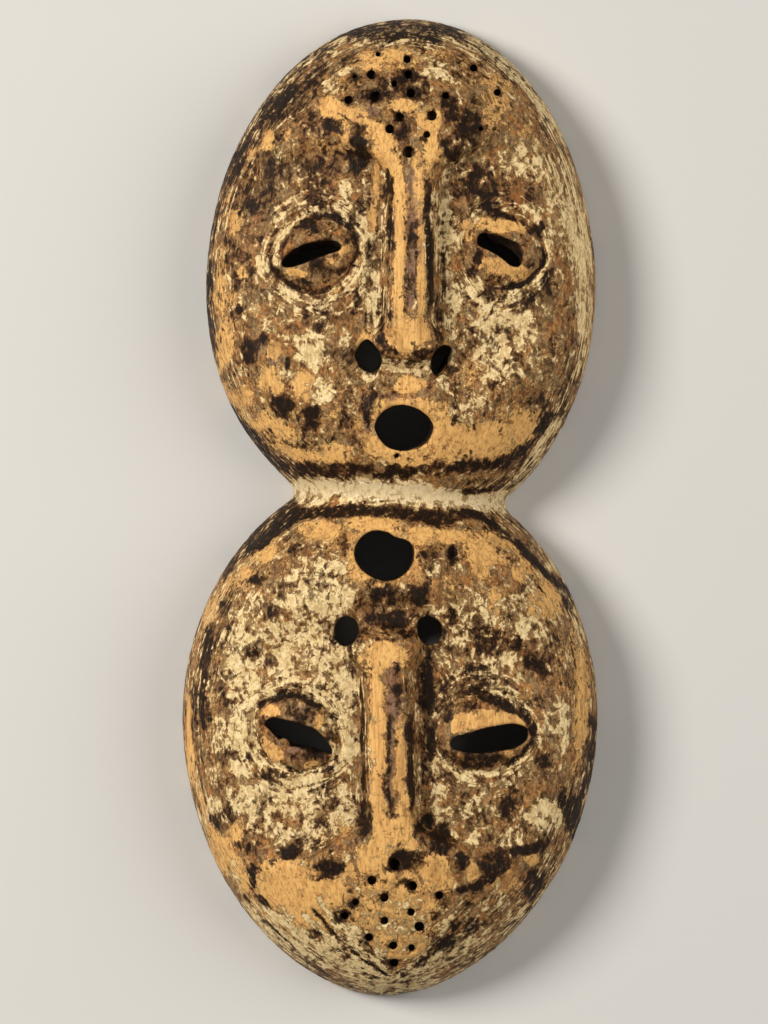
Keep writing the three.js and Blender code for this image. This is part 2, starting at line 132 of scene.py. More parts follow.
OUTER_FLANK = (0.52, 0.95)  # where the hollow fades out, as a share of the way to the outline
HOLLOW_MOST = 0.5  # the hollow takes no more than this share of the dome's height
# Where the nose's ridge rises and ends, along it and as a share of its half width, and its groove
PROUD_START, PROUD_END, PROUD_SIDE = (-1, 3), (25, 55), (0.5, 1.1)
GROOVE_START, GROOVE_END = (-1, 2), (-12, 4)
LID_POWERS = (2, 1.35, 0.6)  # along an eye, across it and of their sum
LID_FALL = 2.2
LID_ARC_OUT, LID_ARC_WIDTH = 2.6, 1.6  # the raised arc round an eye
# These keep a number clear of nought
TAPER_END = 0.02
LEAST_RADIUS = 1e-4
LEAST_STEEPNESS = 0.006
# Steps over which a slope is measured: of the brow's line, of a hole's wall and of the wood's surface
WIDE_STEP, WALL_STEP, FINE_STEP = 0.5, 0.2, 0.05


class Face:
    """One of the two faces. u runs to the right of its upright picture and v towards its crown."""

    def __init__(self, **sizes):
        self.__dict__.update(sizes)

    def local(self, x, y):
        return self.sign * (x - self.centre[0]), self.sign * (y - self.centre[1])

    def place(self, u, v):
        return self.centre[0] + self.sign * u, self.centre[1] + self.sign * v


UPPER = Face(
    centre=(3.9, 80.3), sign=1, half_width=71.8, crown=99.7, chin=88.6, depth=52,
    lean_crown=2.4, lean_chin=1, taper=0, axis_tip=1.6, axis_middle=3, axis_root=5, nose_tip=-27,
    nose_half=6, ala_half=10.3, brow_start=40, brow_rise=21, brow_span=34,
    eyes=[dict(at=(-31.1, 11.2), half=(17, 14.4), tilt=15), dict(at=(37.4, 13), half=(15.2, 14.4), tilt=-16)],
    groove=(-13, 43),
    dots=[
        (-18.9, 67.2, 3.1), (-9.1, 68.2, 4), (-10.6, 76.5, 3.6), (-16.7, 76.1, 2), (-8.3, 84.5, 2),
        (2.3, 82.3, 3), (2.7, 76.5, 3.4), (-2.4, 73, 2.4), (3.6, 69.5, 3.5), (16.1, 68.8, 2.8),
        (26.5, 79.5, 2.6), (35.1, 70.5, 2.6), (-0.4, 60.5, 3.5), (-4, 56.2, 3.4), (11.2, 61.2, 3.9),
        (9.3, 54.2, 2.8), (2.8, 47.7, 4.2), (28.9, 56.6, 1.8), (-1.4, -61.6, 1.6),
    ],
)
LOWER = Face(
    centre=(0, -76.7), sign=-1, half_width=76.4, crown=103.3, chin=90.5, depth=54,
    lean_crown=1.6, lean_chin=-3, taper=0.06, axis_tip=2.6, axis_middle=0.3, axis_root=-0.3, nose_tip=-31,
    nose_half=6.4, ala_half=10.5, brow_start=36, brow_rise=20, brow_span=34,
    eyes=[dict(at=(33.8, 4.6), half=(17.2, 14.2), tilt=-25), dict(at=(-34, 4.3), half=(18.8, 15), tilt=2)],
    groove=(-20, 37),
    dots=[
        (-1.8, 52.1, 4.2), (6.6, 57.7, 3.6), (2.1, 64, 3.2), (-8, 59.7, 3.5), (-17.7, 63.3, 2.9),
        (12.4, 65.8, 2.6), (16.3, 70.9, 3.1), (2.1, 72.6, 2.9), (-7.5, 69.4, 2.8), (-10.5, 75, 3.5),
        (7.7, 78.9, 3), (-1.1, 82, 3), (-7.8, 82.9, 2.7), (-1.5, 88.7, 3.2),
    ],
)
FACES = (UPPER, LOWER)

# Holes cut right through, by their outlines in the photograph. The slope says which way a wall leans in,
# to the photograph's right and up, in mm for each mm of depth.
HOLES = {
    "upper_left_slit": dict(slope=(0, 0.35), outline=[
        (281, 265), (282, 255), (290, 247), (303, 242), (320, 240), (334, 241), (342, 246), (333, 251),
        (318, 256), (304, 262), (290, 266),
    ]),
    "upper_right_slit": dict(slope=(0.75, 0.35), outline=[
        (476, 240), (480, 232), (492, 232), (508, 235), (522, 239), (529, 246), (528, 258), (521, 265),
        (513, 265), (503, 258), (490, 250), (479, 245),
    ]),
    "upper_left_nostril": dict(slope=(0, 0), outline=[
        (366, 339), (373, 344), (382, 359), (378, 369), (369, 372), (361, 367), (356, 356), (359, 346),
    ]),
    "upper_right_nostril": dict(slope=(0.3, -0.35), outline=[
        (438, 348), (446, 344), (453, 350), (452, 363), (447, 373), (438, 377), (432, 370), (432, 359),
    ]),
    "upper_mouth": dict(slope=(0.25, -0.15), outline=[
        (374, 428), (379, 415), (390, 407), (403, 405), (418, 409), (431, 419), (436, 431), (430, 444),
        (417, 451), (400, 452), (384, 445),
    ]),
    "lower_left_slit": dict(slope=(0, -0.2), outline=[
        (264, 725), (270, 719), (283, 720), (301, 725), (318, 732), (329, 743), (333, 755), (320, 754),
        (306, 750), (290, 747), (276, 739),
    ]),
    "lower_right_slit": dict(slope=(0.2, 0), outline=[
        (449, 744), (453, 738), (466, 735), (480, 730), (495, 727), (510, 725), (523, 726), (532, 730),
        (533, 738), (526, 745), (515, 749), (500, 751), (484, 753), (466, 752), (453, 749),
    ]),
    "lower_left_nostril": dict(slope=(0, 0), outline=[
        (338, 620), (346, 616), (355, 620), (359, 629), (354, 641), (345, 647), (337, 641), (334, 630),
    ]),
    "lower_right_nostril": dict(slope=(0, 0), outline=[
        (420, 619), (430, 616), (439, 621), (443, 632), (437, 643), (427, 645), (419, 638), (417, 628),
    ]),
    "lower_mouth": dict(slope=(0.1, 0), outline=[
        (354, 552), (360, 538), (373, 531), (387, 532), (398, 538), (411, 542), (416, 552), (411, 567),
        (399, 578), (385, 581), (370, 576), (358, 565),
    ]),
}
# Knife lines, by points along them in the photograph, and pits with half their sizes in pixels
CREASES = {
    "upper nose tip": [(379, 340), (388, 351), (405, 356), (422, 352), (431, 343)],
    "upper nose arc": [(384, 351), (396, 360), (410, 361), (422, 356)],
    "upper left brow": [(318, 101), (348, 118), (370, 134), (381, 160), (386, 205)],
    "upper right brow": [(426, 186), (434, 168), (447, 150), (461, 134), (478, 125)],
    "lower nose arc": [(362, 628), (380, 634), (400, 634), (414, 628)],
    "lower left crown": [(300, 893), (330, 930), (362, 962), (392, 982)],
    "lower crown line": [(322, 898), (350, 934), (376, 960), (394, 975)],
    "lower right crown": [(470, 905), (444, 938), (416, 964), (394, 982)],
    "lower left brow": [(330, 852), (352, 848), (368, 832), (372, 800)],
    "lower right brow": [(412, 800), (416, 836), (436, 852), (470, 858)],
}
CREASE_DEPTH, CREASE_WIDTH, CREASE_REACH = 0.55, 0.8, 3
PITS = {
    "lower chin": (452.5, 553, 5, 8), "upper chin": (397, 455.5, 2.5, 2.5), "lower brow": (394, 863, 5, 6),
}
PIT_DEPTH, PIT_WALL = 2.4, (0.4, 1.2)
LIP_BEAD = 0.5  # the raised lip round an eye's slit
LIP_OUT = 1.5
# Beads of old dirt under the lower face's left slit: places and half their sizes in pixels
LUMPS = [(284, 744, 5.5), (296, 752, 5), (309, 756, 6), (323, 757, 5.5)]
HOLE_CORNER = 0.6  # rounding of an outline's corners
HOLE_REACH, HOLE_REACH_SHARE = 12, 1.6  # how far a hole can matter, with its leaning walls
HOLE_LEAN_DEPTH = 9
LUMP_ROUNDING, LUMP_SUNK, LUMP_REACH = 0.8, 0.5, 2


def ramp(low, high, x):
    t = np.clip((x - low) / (high - low), 0, 1)
    return t * t * (3 - 2 * t)


def bell(x, width):
    return np.exp(-((x / width) ** 2))


def smooth_max(a, b, rounding):
    h = np.maximum(rounding - np.abs(a - b), 0) / rounding
    return np.maximum(a, b) + h * h * rounding / 4


def smooth_min(a, b, rounding):
    return -smooth_max(-a, -b, rounding)


def turned(u, v, at, tilt):
    c, s = math.cos(math.radians(tilt)), math.sin(math.radians(tilt))
    return (u - at[0]) * c + (v - at[1]) * s, (v - at[1]) * c - (u - at[0]) * s


# The form of a face
def lean(face, v):
    return np.where(v > 0, face.lean_crown * (v / face.crown) ** 2, face.lean_chin * (v / face.chin) ** 2)


def oval_radius(across, along, width, length):
    """0 at an oval's centre and 1 on its outline, and how fast it grows for each mm."""
    across, along = across / width, along / length
    radius = np.maximum(np.hypot(across, along), LEAST_RADIUS)
    return radius, np.hypot(across / width, along / length) / radius


def plan_radius(face, u, v):
    """The same for a face's outline."""
    left = np.maximum(TAPER_END, 1 - (v / face.crown) ** 2)
    width = np.where(v > 0, face.half_width * left ** face.taper, face.half_width)
    length = np.where(v > 0, face.crown, face.chin)
    tilt = np.where(v > 0, 0, CHIN_TILT * u * (v / face.chin) ** 2)
    return oval_radius(u - lean(face, v), v + tilt, width, length)


def bulge_distance(radius, growth, z, depth, power):
    """Distance to a rounded bulge of a depth over an oval."""
    up = np.maximum(z, 0) / depth
    level = radius ** power + up ** SIDE_POWER
    steepness = np.hypot(power * radius ** (power - 1) * growth, SIDE_POWER * up ** (SIDE_POWER - 1) / depth)
    return (level - 1) / np.maximum(steepness, LEAST_STEEPNESS)


def dome_distance(face, u, v, z):
    return bulge_distance(*plan_radius(face, u, v), z, face.depth, PLAN_POWER)


def dome_height(face, u, v):
    left = np.maximum(0, 1 - plan_radius(face, u, v)[0] ** PLAN_POWER)
    return face.depth * left ** (1 / SIDE_POWER)


def nose_axis(face, v):
    down = face.axis_middle + (face.axis_tip - face.axis_middle) * ramp(0, -face.nose_tip, -v)
    up = face.axis_middle + (face.axis_root - face.axis_middle) * ramp(0, NOSE_ROOT, v)
    return np.where(v < 0, down, up)


def standing_half(face, v):
    """Half the width of what the heart-shaped hollow leaves standing: the nose, then the brow."""
    ala = (face.ala_half - face.nose_half) * ramp(*(-face.nose_tip - rise for rise in WING_RISE), -v)
    brow = face.brow_span * (np.maximum(0, v - face.brow_start) / face.brow_rise) ** 2
    return face.nose_half + ala + brow


def hollowed(face, u, v):
    """How much the heart-shaped hollow takes off the dome."""
    half = standing_half(face, v)
    slope = (standing_half(face, v + WIDE_STEP) - half) / WIDE_STEP
    across = u - nose_axis(face, v)
    out = (np.abs(across) - half) / np.hypot(1, SLOPE_SHARE * slope)
    past_nose = face.nose_tip - v
    flank = NOSE_FLANK + (BROW_FLANK - NOSE_FLANK) * ramp(0, BROW_SLOPE, np.abs(slope))
    socket = np.hypot((np.abs(across) - SOCKET_OUT) / SOCKET_HALF[0],
                      np.maximum(0, v - SOCKET_UP) / SOCKET_HALF[1])
    inside_socket = SOCKET_HALF[0] * (1 - socket)
    beside = np.minimum(ramp(0, 1, out / flank), ramp(0, BROW_FLANK, inside_socket))
    beside_fade = 1 - ramp(0, BESIDE_END, past_nose + BESIDE_BOW * across**2)
    below_tip = ramp(*LIP_START, past_nose + TIP_BOW * across**2)
    below_tip = below_tip * (1 - ramp(*LIP_END, past_nose + LIP_BOW * across**2))
    towards_flank = 1 - ramp(*OUTER_FLANK, plan_radius(face, u, v)[0])
    return np.maximum(HEART_DEPTH * beside * beside_fade, LIP_DEPTH * below_tip) * towards_flank


def along_nose(start, end, v):
    """1 along a stretch of a nose, which begins and ends over these pairs of places."""
    return ramp(*start, v) * (1 - ramp(*end, v))


def beyond(place, pair):
    """A pair of places that are counted from another one."""
    return tuple(place + step for step in pair)


def nose_rise(face, u, v):
    out = np.abs(u - nose_axis(face, v)) / standing_half(face, v)
    along = along_nose(beyond(face.nose_tip, PROUD_START), PROUD_END, v)
    return NOSE_PROUD * (1 - ramp(*PROUD_SIDE, out)) * along


def nose_groove(face, u, v):
    along = along_nose(beyond(face.groove[0], GROOVE_START), beyond(face.groove[1], GROOVE_END), v)
    return NOSE_GROOVE_DEPTH * bell(u - nose_axis(face, v), NOSE_GROOVE_WIDTH) * along


def almond_share(eye, u, v):
    """0 in the middle of an almond eye and 1 on its edge."""
    a, b = turned(u, v, eye["at"], eye["tilt"])
    powers = LID_POWERS
    level = np.abs(a / eye["half"][0]) ** powers[0] + np.abs(b / eye["half"][1]) ** powers[1]
    return level ** powers[2]


def lid_distance(eye, u, v):
    """Distance out from the edge of an eye."""
    return (almond_share(eye, u, v) - 1) * min(eye["half"])


def eye_relief(eye, u, v):
    share = almond_share(eye, u, v)
    out = (share - 1) * min(eye["half"])
    swelling = LID_RISE * np.maximum(0, 1 - np.minimum(share, 1) ** LID_FALL)
    arc = LID_RIM * bell(out - LID_ARC_OUT, LID_ARC_WIDTH)
    return swelling - LID_GROOVE * bell(out, LID_GROOVE_WIDTH) + arc


def carved_off(face, u, v):
    """How far the carved front lies under the plain dome."""
    off = np.minimum(hollowed(face, u, v), HOLLOW_MOST * dome_height(face, u, v))
    off = off - nose_rise(face, u, v) + nose_groove(face, u, v)
    for eye in face.eyes:
        off = off - eye_relief(eye, u, v)
    return off


def line_distance(points, x, y):
    """Distance to a line of straight stretches."""
    nearest = np.full(x.shape, np.inf)
    for (ax, ay), (bx, by) in zip(points, points[1:]):
        ex, ey = bx - ax, by - ay
        t = np.clip(((x - ax) * ex + (y - ay) * ey) / (ex * ex + ey * ey), 0, 1)
        nearest = np.minimum(nearest, np.hypot(x - ax - t * ex, y - ay - t * ey))
    return nearest


def marked(x, y):
    """Depth of the knife lines and pits."""
    depth = np.zeros(x.shape)
    for points in CREASE_LIST:
        middle = np.mean(points, axis=0)
        reach = max(math.dist(middle, point) for point in points) + CREASE_REACH
        here = np.hypot(x - middle[0], y - middle[1]) < reach
        depth[here] += CREASE_DEPTH * bell(line_distance(points, x[here], y[here]), CREASE_WIDTH)
    for hole in HOLE_LIST:
        if not hole["lips"]:
            continue
        here = np.hypot(x - hole["at"][0], y - hole["at"][1]) < hole["reach"]
        out = outline_distance(hole["points"], x[here], y[here])
        depth[here] -= LIP_BEAD * bell(out - LIP_OUT, LIP_OUT)
    for px, py, half_x, half_y in PITS.values():
        mx, my = from_photo(px, py)
        out = np.hypot((x - mx) / half_x, (y - my) / half_y) / MM_PER_PIXEL
        depth += PIT_DEPTH * (1 - ramp(*PIT_WALL, out))
    return depth


def face_height(face, u, v):
    return dome_height(face, u, v) - carved_off(face, u, v)


def hollow_distance(face, x, y, z):
    """Distance to the hollow behind a face, which stops short of the neck."""
    u, v = face.local(x, y)
    chin = abs(face.centre[1] - NECK_Y) - NECK_WALL
    length = np.where(v > 0, face.crown - WALL_AT_RIM - CROWN_WALL_MORE, chin)
    oval = oval_radius(u - lean(face, v), v, face.half_width - WALL_AT_RIM, length)
    return bulge_distance(*oval, z, face.depth - WALL_AT_TOP, HOLLOW_POWER)


def outline_distance(points, x, y):
    """Distance to a closed outline of straight stretches, negative inside."""
    closed = points + points[:1]
    nearest = line_distance(closed, x, y)
    inside = np.zeros(nearest.shape, bool)
    for (ax, ay), (bx, by) in zip(closed, closed[1:]):
        spans = (ay > y) != (by > y)
        left = x < ax + (y - ay) * (bx - ax) / (by - ay if by != ay else 1)
        inside = inside ^ (spans & left)
    return np.where(inside, -nearest, nearest)


def rounded(points, pieces=4):
    """A smooth closed curve through the corners of an outline."""
    count = len(points)
    curve = []
    for i in range(count):
        before, start, end, after = (np.array(points[(i + k - 1) % count]) for k in range(4))
        for t in np.arange(pieces) / pieces:
            bend = 2 * start + (end - before) * t + (2 * before - 5 * start + 4 * end - after) * t**2
            bend = bend + (3 * start - before - 3 * end + after) * t**3
            curve.append(tuple(bend / 2))
    return curve


def prepared_holes():
    """Each hole's outline on the mask, drawn in by its corner rounding, and the height of the front there."""
    made = []
    for name, hole in HOLES.items():
        points = rounded([from_photo(px, py) for px, py in hole["outline"]])
        mx = sum(p[0] for p in points) / len(points)
        my = sum(p[1] for p in points) / len(points)
        reach = sum(math.hypot(p[0] - mx, p[1] - my) for p in points) / len(points)
        keep = 1 - HOLE_CORNER / reach
        points = [(mx + (px - mx) * keep, my + (py - my) * keep) for px, py in points]
        face = UPPER if name.startswith("upper") else LOWER
        top = float(face_height(face, *face.local(mx, my)))
        made.append(dict(points=points, top=top, slope=hole["slope"], at=(mx, my),
                         reach=HOLE_REACH_SHARE * reach + HOLE_REACH, lips=name.endswith("slit")))
    return made


def hole_distance(hole, x, y, z):
    """Distance to the leaning walls of a hole, negative inside it."""
    def flat_distance(x, y):
        return outline_distance(hole["points"], x, y) - HOLE_CORNER

    flat = flat_distance(x, y)
    sx, sy = hole["slope"]
    if sx == 0 and sy == 0:
        return flat + 0 * z
    across = (flat_distance(x + WALL_STEP, y) - flat) / WALL_STEP
    up = (flat_distance(x, y + WALL_STEP) - flat) / WALL_STEP
    leaning = np.maximum(0, across * sx + up * sy)
    return flat + leaning * np.clip(hole["top"] - z, 0, HOLE_LEAN_DEPTH)


def prepared_dots():
    dots = []
    for face in FACES:
        for u, v, width in face.dots:
            x, y = face.place(u, v)
            dots.append((x, y, width / 2, float(face_height(face, u, v))))
    return dots


def prepared_lumps():
    lumps = []
    for px, py, half in LUMPS:
        x, y = from_photo(px, py)
        radius = half * MM_PER_PIXEL
        lumps.append((x, y, float(face_height(LOWER, *LOWER.local(x, y))) - LUMP_SUNK * radius, radius))
    return lumps


HOLE_LIST = prepared_holes()
DOT_LIST = prepared_dots()
LUMP_LIST = prepared_lumps()
CREASE_LIST = [[from_photo(px, py) for px, py in points] for points in CREASES.values()]


def front_distance(x, y, z):
    """Distance to the two carved domes, joined at the neck, without holes or hollows."""
    domes = []
    marks = marked(x, y)
    for face in FACES:
        u, v = face.local(x, y)
        domes.append(dome_distance(face, u, v, z + carved_off(face, u, v) + marks))
    return smooth_min(domes[0], domes[1], NECK_FILLET)


def near(x, y, at, reach):
    """Which columns of points lie near a place; x and y end in an axis of length 1."""
    return np.hypot(x[..., 0] - at[0], y[..., 0] - at[1]) < reach


def wood_distance(x, y, z):
    """Distance to the surface of the wood, negative inside it.

    x and y end in an axis of length 1, and z runs along it.
    """
    wood = smooth_max(front_distance(x, y, z), -z, RIM_ROUNDING)
    z = np.broadcast_to(z, wood.shape)
    for face in FACES:
        wood = smooth_max(wood, -hollow_distance(face, x, y, z), RIM_ROUNDING)
    for hole in HOLE_LIST:
        here = near(x, y, hole["at"], hole["reach"])
        cut = hole_distance(hole, x[here], y[here], z[here])
        wood[here] = smooth_max(wood[here], -cut, HOLE_ROUNDING)
    for dx, dy, radius, top in DOT_LIST:
        here = near(x, y, (dx, dy), radius + DOT_ROOM)
        drilled = np.maximum(np.hypot(x[here] - dx, y[here] - dy) - radius, top - DOT_DEPTH - z[here])
        wood[here] = np.maximum(wood[here], -drilled)
    for lx, ly, lz, radius in LUMP_LIST:
        here = near(x, y, (lx, ly), LUMP_REACH * radius)
        lump = np.sqrt((x[here] - lx) ** 2 + (y[here] - ly) ** 2 + (z[here] - lz) ** 2) - radius
        wood[here] = smooth_min(wood[here], lump, LUMP_ROUNDING)
    return wood


# The mesh
GRID_MARGIN = 2.5
SLAB = 60  # rows of the grid worked out at a time
DRAWN_TIMES = 2  # how often the points are drawn onto the surface
LEAST_SLOPE = 0.3
LEAST_LENGTH = 1e-6
MOST_STEP = 0.4 * CELL
CORNERS = list(itertools.product((0, 1), repeat=3))
AROUND = ((-1, -1), (0, -1), (0, 0), (-1, 0))  # the four cells round an edge of the grid, in turn


def grid_axes():
    low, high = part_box("mask")
    axes = []
    for i in range(3):
        axes.append(np.arange(low[i] / MM - GRID_MARGIN, high[i] / MM + GRID_MARGIN + CELL, CELL))
    return axes


def field_on_grid(xs, ys, zs):
    slabs = []
    for start in range(0, len(ys), SLAB):
        x, y = np.meshgrid(xs, ys[start : start + SLAB], indexing="ij")
        slabs.append(wood_distance(x[..., None], y[..., None], zs).astype(np.float32))
    return np.concatenate(slabs, axis=1)


def net_points(field, inside, axes):
    """A point in each cell where the field changes sign, and the number of each such cell's point."""
    cells_shape = tuple(n - 1 for n in field.shape)
    count = np.zeros(cells_shape, np.int8)
    for corner in CORNERS:
        count += inside[tuple(slice(c, c + n) for c, n in zip(corner, cells_shape))]
    active = (count > 0) & (count < len(CORNERS))
    cells = np.argwhere(active)
    index = np.full(cells_shape, -1, np.int64)
    index[active] = np.arange(len(cells))
    total, crossings = np.zeros((len(cells), 3)), np.zeros(len(cells))
    for a, b in itertools.combinations(CORNERS, 2):
        if sum(abs(p - q) for p, q in zip(a, b)) != 1:
            continue
        start, end = field[tuple((cells + a).T)], field[tuple((cells + b).T)]
        crossed = (start < 0) != (end < 0)
        t = np.where(crossed, start / np.where(crossed, start - end, 1), 0)
        total += crossed[:, None] * (np.array(a) + t[:, None] * (np.array(b) - np.array(a)))
        crossings += crossed
    points = (cells + total / crossings[:, None]) * CELL + [axis[0] for axis in axes]
    return points, index


def net_quads(inside, index, axis):
    """The faces across the edges of the grid along one axis that leave or enter the wood."""
    second, third = (axis + 1) % 3, (axis + 2) % 3
    ahead = np.swapaxes(inside, 0, axis)
    changed = np.swapaxes(ahead[:-1] != ahead[1:], 0, axis)
    edges = np.argwhere(changed)
    around = []
    for along_second, along_third in AROUND:
        cell = edges.copy()
        cell[:, second] += along_second
        cell[:, third] += along_third
        around.append(index[tuple(cell.T)])
    quad = np.stack(around, axis=1)
    entering = ~inside[tuple(edges.T)]
    quad[entering] = quad[entering][:, ::-1]
    return quad


def surface_net(field, axes):
    """A closed mesh of the places where the field changes sign."""
    inside = field < 0
    points, index = net_points(field, inside, axes)
    return points, np.concatenate([net_quads(inside, index, axis) for axis in range(3)])


def distance_and_slope(points):
    columns = [points[:, i : i + 1] for i in range(3)]
    value = wood_distance(*columns)[:, 0]
    slope = np.empty_like(points)
    for i in range(3):
        shifted = list(columns)
        shifted[i] = shifted[i] + FINE_STEP
        slope[:, i] = (wood_distance(*shifted)[:, 0] - value) / FINE_STEP
    return value, slope


def onto_surface(points):
    """Draws the net's points onto the true surface."""
    for _ in range(DRAWN_TIMES):
        value, slope = distance_and_slope(points)
        step = value / np.maximum((slope**2).sum(1), LEAST_SLOPE)
        points = points - np.clip(step, -MOST_STEP, MOST_STEP)[:, None] * slope
    return points


# Seeded noise, from whole places mixed up by large factors
PLACE_FACTORS = (73856093, 19349663, 83492791)
SEED_FACTOR = 2654435761
MIXERS = ((15, 2246822519), (13, 3266489917))
LAST_SHIFT = 16
WORD, SHORT_WORD = 0xFFFFFFFF, 0xFFFFFF
FINER_SHARE = 0.35


def hashed(ix, iy, iz, seed):
    """A number from 0 to 1 for each whole place."""
    mixed = seed * SEED_FACTOR
    for whole, factor in zip((ix, iy, iz), PLACE_FACTORS):
        mixed = mixed ^ whole.astype(np.int64) * factor
    mixed = mixed & WORD
    for shift, factor in MIXERS:
        mixed = ((mixed ^ (mixed >> shift)) * factor) & WORD
    return ((mixed ^ (mixed >> LAST_SHIFT)) & SHORT_WORD) / SHORT_WORD


def noise(points, size, seed):
    """Smooth noise from 0 to 1, with blots of a size in mm, one number or one for each axis."""
    scaled = points / np.array(size)
    low = np.floor(scaled)
    t = scaled - low
    t = t * t * (3 - 2 * t)
    total = np.zeros(len(points))
    for corner in CORNERS:
        share = np.prod(np.where(np.array(corner) == 1, t, 1 - t), axis=1)
        total += share * hashed(*(low + corner).T, seed)
    return total


def finer_noise(points, size, seed):
    """Noise with half-size blots on top."""
    finer = noise(points, np.array(size) / 2, seed + 1)
    return (1 - FINER_SHARE) * noise(points, size, seed) + FINER_SHARE * finer


# Low relief, which the knife, wear and crusts of paint leave on the surface
UNEVEN, UNEVEN_SIZE = 0.5, 16  # slow waver of a surface shaped by hand
CRUST, CRUST_SIZE = 0.34, 3.2
GRAIN_RIDGE, GRAIN_SIZE = 0.16, (1.6, 22, 1.6)
GOUGE_DEPTH = 0.7
GOUGE_SIZE = (9, 16)
GOUGE_WANDER, GOUGE_WANDER_SIZE = 5, 18
GOUGE_STAGGER = 0.37
GOUGE_BOW, GOUGE_LEVEL = (2.6, 1.4), 0.4
FRONT_OFF = (1.5, 3.5)  # how far off the carved front the front's relief and paint end
FRONT_FOOT = (0.2, 1.2)  # the heights over which they begin
BACK_FOOT, RIM_FOOT = (1, 6), (0.05, 1.5)  # the same for the hollows' gouge marks and near the rim
BACK_UNEVEN = 0.4
SEEDS = dict(gouge=3, uneven=11, crust=12, grain=13, pull_x=21, pull_y=31)


def front_share(points):
    """1 on the carved front and its flanks, and 0 in the hollows and under the rim."""
    x, y, z = points[:, 0:1], points[:, 1:2], points[:, 2:3]
    off_front = np.abs(front_distance(x, y, z)[:, 0])
    return (1 - ramp(*FRONT_OFF, off_front)) * ramp(*FRONT_FOOT, points[:, 2])


def gouged(points):
    """The shallow troughs of a gouge in the hollow back, in staggered rows."""
    wide, long = GOUGE_SIZE
    warp = noise(points, GOUGE_WANDER_SIZE, SEEDS["gouge"])[:, None] - 0.5
    warped = points[:, :2] + GOUGE_WANDER * warp
    row = np.floor(warped[:, 0] / wide)
    along = (warped[:, 1] / long + GOUGE_STAGGER * row) % 1 - 0.5
    across = (warped[:, 0] / wide) % 1 - 0.5
    return GOUGE_DEPTH * (across**2 * GOUGE_BOW[0] + along**2 * GOUGE_BOW[1] - GOUGE_LEVEL)


def with_relief(points):
    """Moves the points out or in by the low relief, and gives each one's share of the front."""
    _, slope = distance_and_slope(points)
    outward = slope / np.maximum(np.linalg.norm(slope, axis=1), LEAST_LENGTH)[:, None]
    front = front_share(points)
    inner = (1 - front) * ramp(*BACK_FOOT, points[:, 2])
    waver = noise(points, UNEVEN_SIZE, SEEDS["uneven"]) - 0.5
    relief = UNEVEN * waver * np.maximum(front, BACK_UNEVEN * inner)
    relief += CRUST * (finer_noise(points, CRUST_SIZE, SEEDS["crust"]) - 0.5) * front
    relief += GRAIN_RIDGE * (noise(points, GRAIN_SIZE, SEEDS["grain"]) - 0.5) * front
    relief += gouged(points) * inner
    relief *= ramp(*RIM_FOOT, points[:, 2])  # the rim that the mask lies on stays flat
    points = points + relief[:, None] * outward
    points[:, 2] = np.maximum(points[:, 2], 0)
    return points, front


def mesh_from(points, faces, name):
    mesh = bpy.data.meshes.new(name)
    mesh.vertices.add(len(points))
    mesh.vertices.foreach_set("co", (points * MM).astype(np.float32).ravel())
    mesh.loops.add(faces.size)
    mesh.loops.foreach_set("vertex_index", faces.astype(np.int32).ravel())
    mesh.polygons.add(len(faces))
    width = faces.shape[1]
    mesh.polygons.foreach_set("loop_start", np.arange(len(faces), dtype=np.int32) * width)
    mesh.polygons.foreach_set("loop_total", np.full(len(faces), width, np.int32))
    mesh.update()
    mesh.validate()
    return mesh


FINEST_KEPT, THINNING_LEVELS = 0.85, 8  # how far the finest places are kept from thinning, and the steps


def thinned(mesh, finest):
    """The mesh with fewer triangles, most of them kept on the front and round the holes."""
    piece = bpy.data.objects.new("thinning", mesh)
    bpy.context.scene.collection.objects.link(piece)
    group = piece.vertex_groups.new(name="plain")
    levels = np.round((1 - FINEST_KEPT * finest) * THINNING_LEVELS) / THINNING_LEVELS
    for level in np.unique(levels):
        group.add(np.nonzero(levels == level)[0].tolist(), float(level), "REPLACE")
    triangles = 2 * len(mesh.polygons)
    modifier = piece.modifiers.new("thinned", "DECIMATE")
    modifier.ratio = min(1, MOST_TRIANGLES / triangles)
    modifier.vertex_group = "plain"
    modifier.vertex_group_factor = 1
    modifier.use_collapse_triangulate = True
    graph = bpy.context.evaluated_depsgraph_get()
    thin = bpy.data.meshes.new_from_object(piece.evaluated_get(graph))
    bpy.data.objects.remove(piece)
    bpy.data.meshes.remove(mesh)
    thin.name = "carved_mask"
    return thin


HOLE_EDGE = (2.5, 5)  # how far from a hole's edge the triangles stay small, in mm
HOLE_EDGE_SHARE = 0.8


def hole_edges(points):
    """1 at the edges of the holes and 0 a few mm away from them."""
    share = np.zeros(len(points))
    x, y, z = (points[:, i : i + 1] for i in range(3))
    for hole in HOLE_LIST:
        here = near(x, y, hole["at"], hole["reach"])
        out = hole_distance(hole, x[here], y[here], z[here])[:, 0]
        share[here] = np.maximum(share[here], 1 - ramp(*HOLE_EDGE, np.abs(out)))
    return share


def carved_piece():
    axes = grid_axes()
    points, faces = surface_net(field_on_grid(*axes), axes)
    points, front = with_relief(onto_surface(points))
    finest = np.maximum(front, HOLE_EDGE_SHARE * hole_edges(points))
    mesh = thinned(mesh_from(points, faces, "net"), finest)
    mesh.shade_smooth()
    piece = bpy.data.objects.new("carved_mask", mesh)
    bpy.context.scene.collection.objects.link(piece)
    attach(piece, "root")
    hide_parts("mask")
    return piece


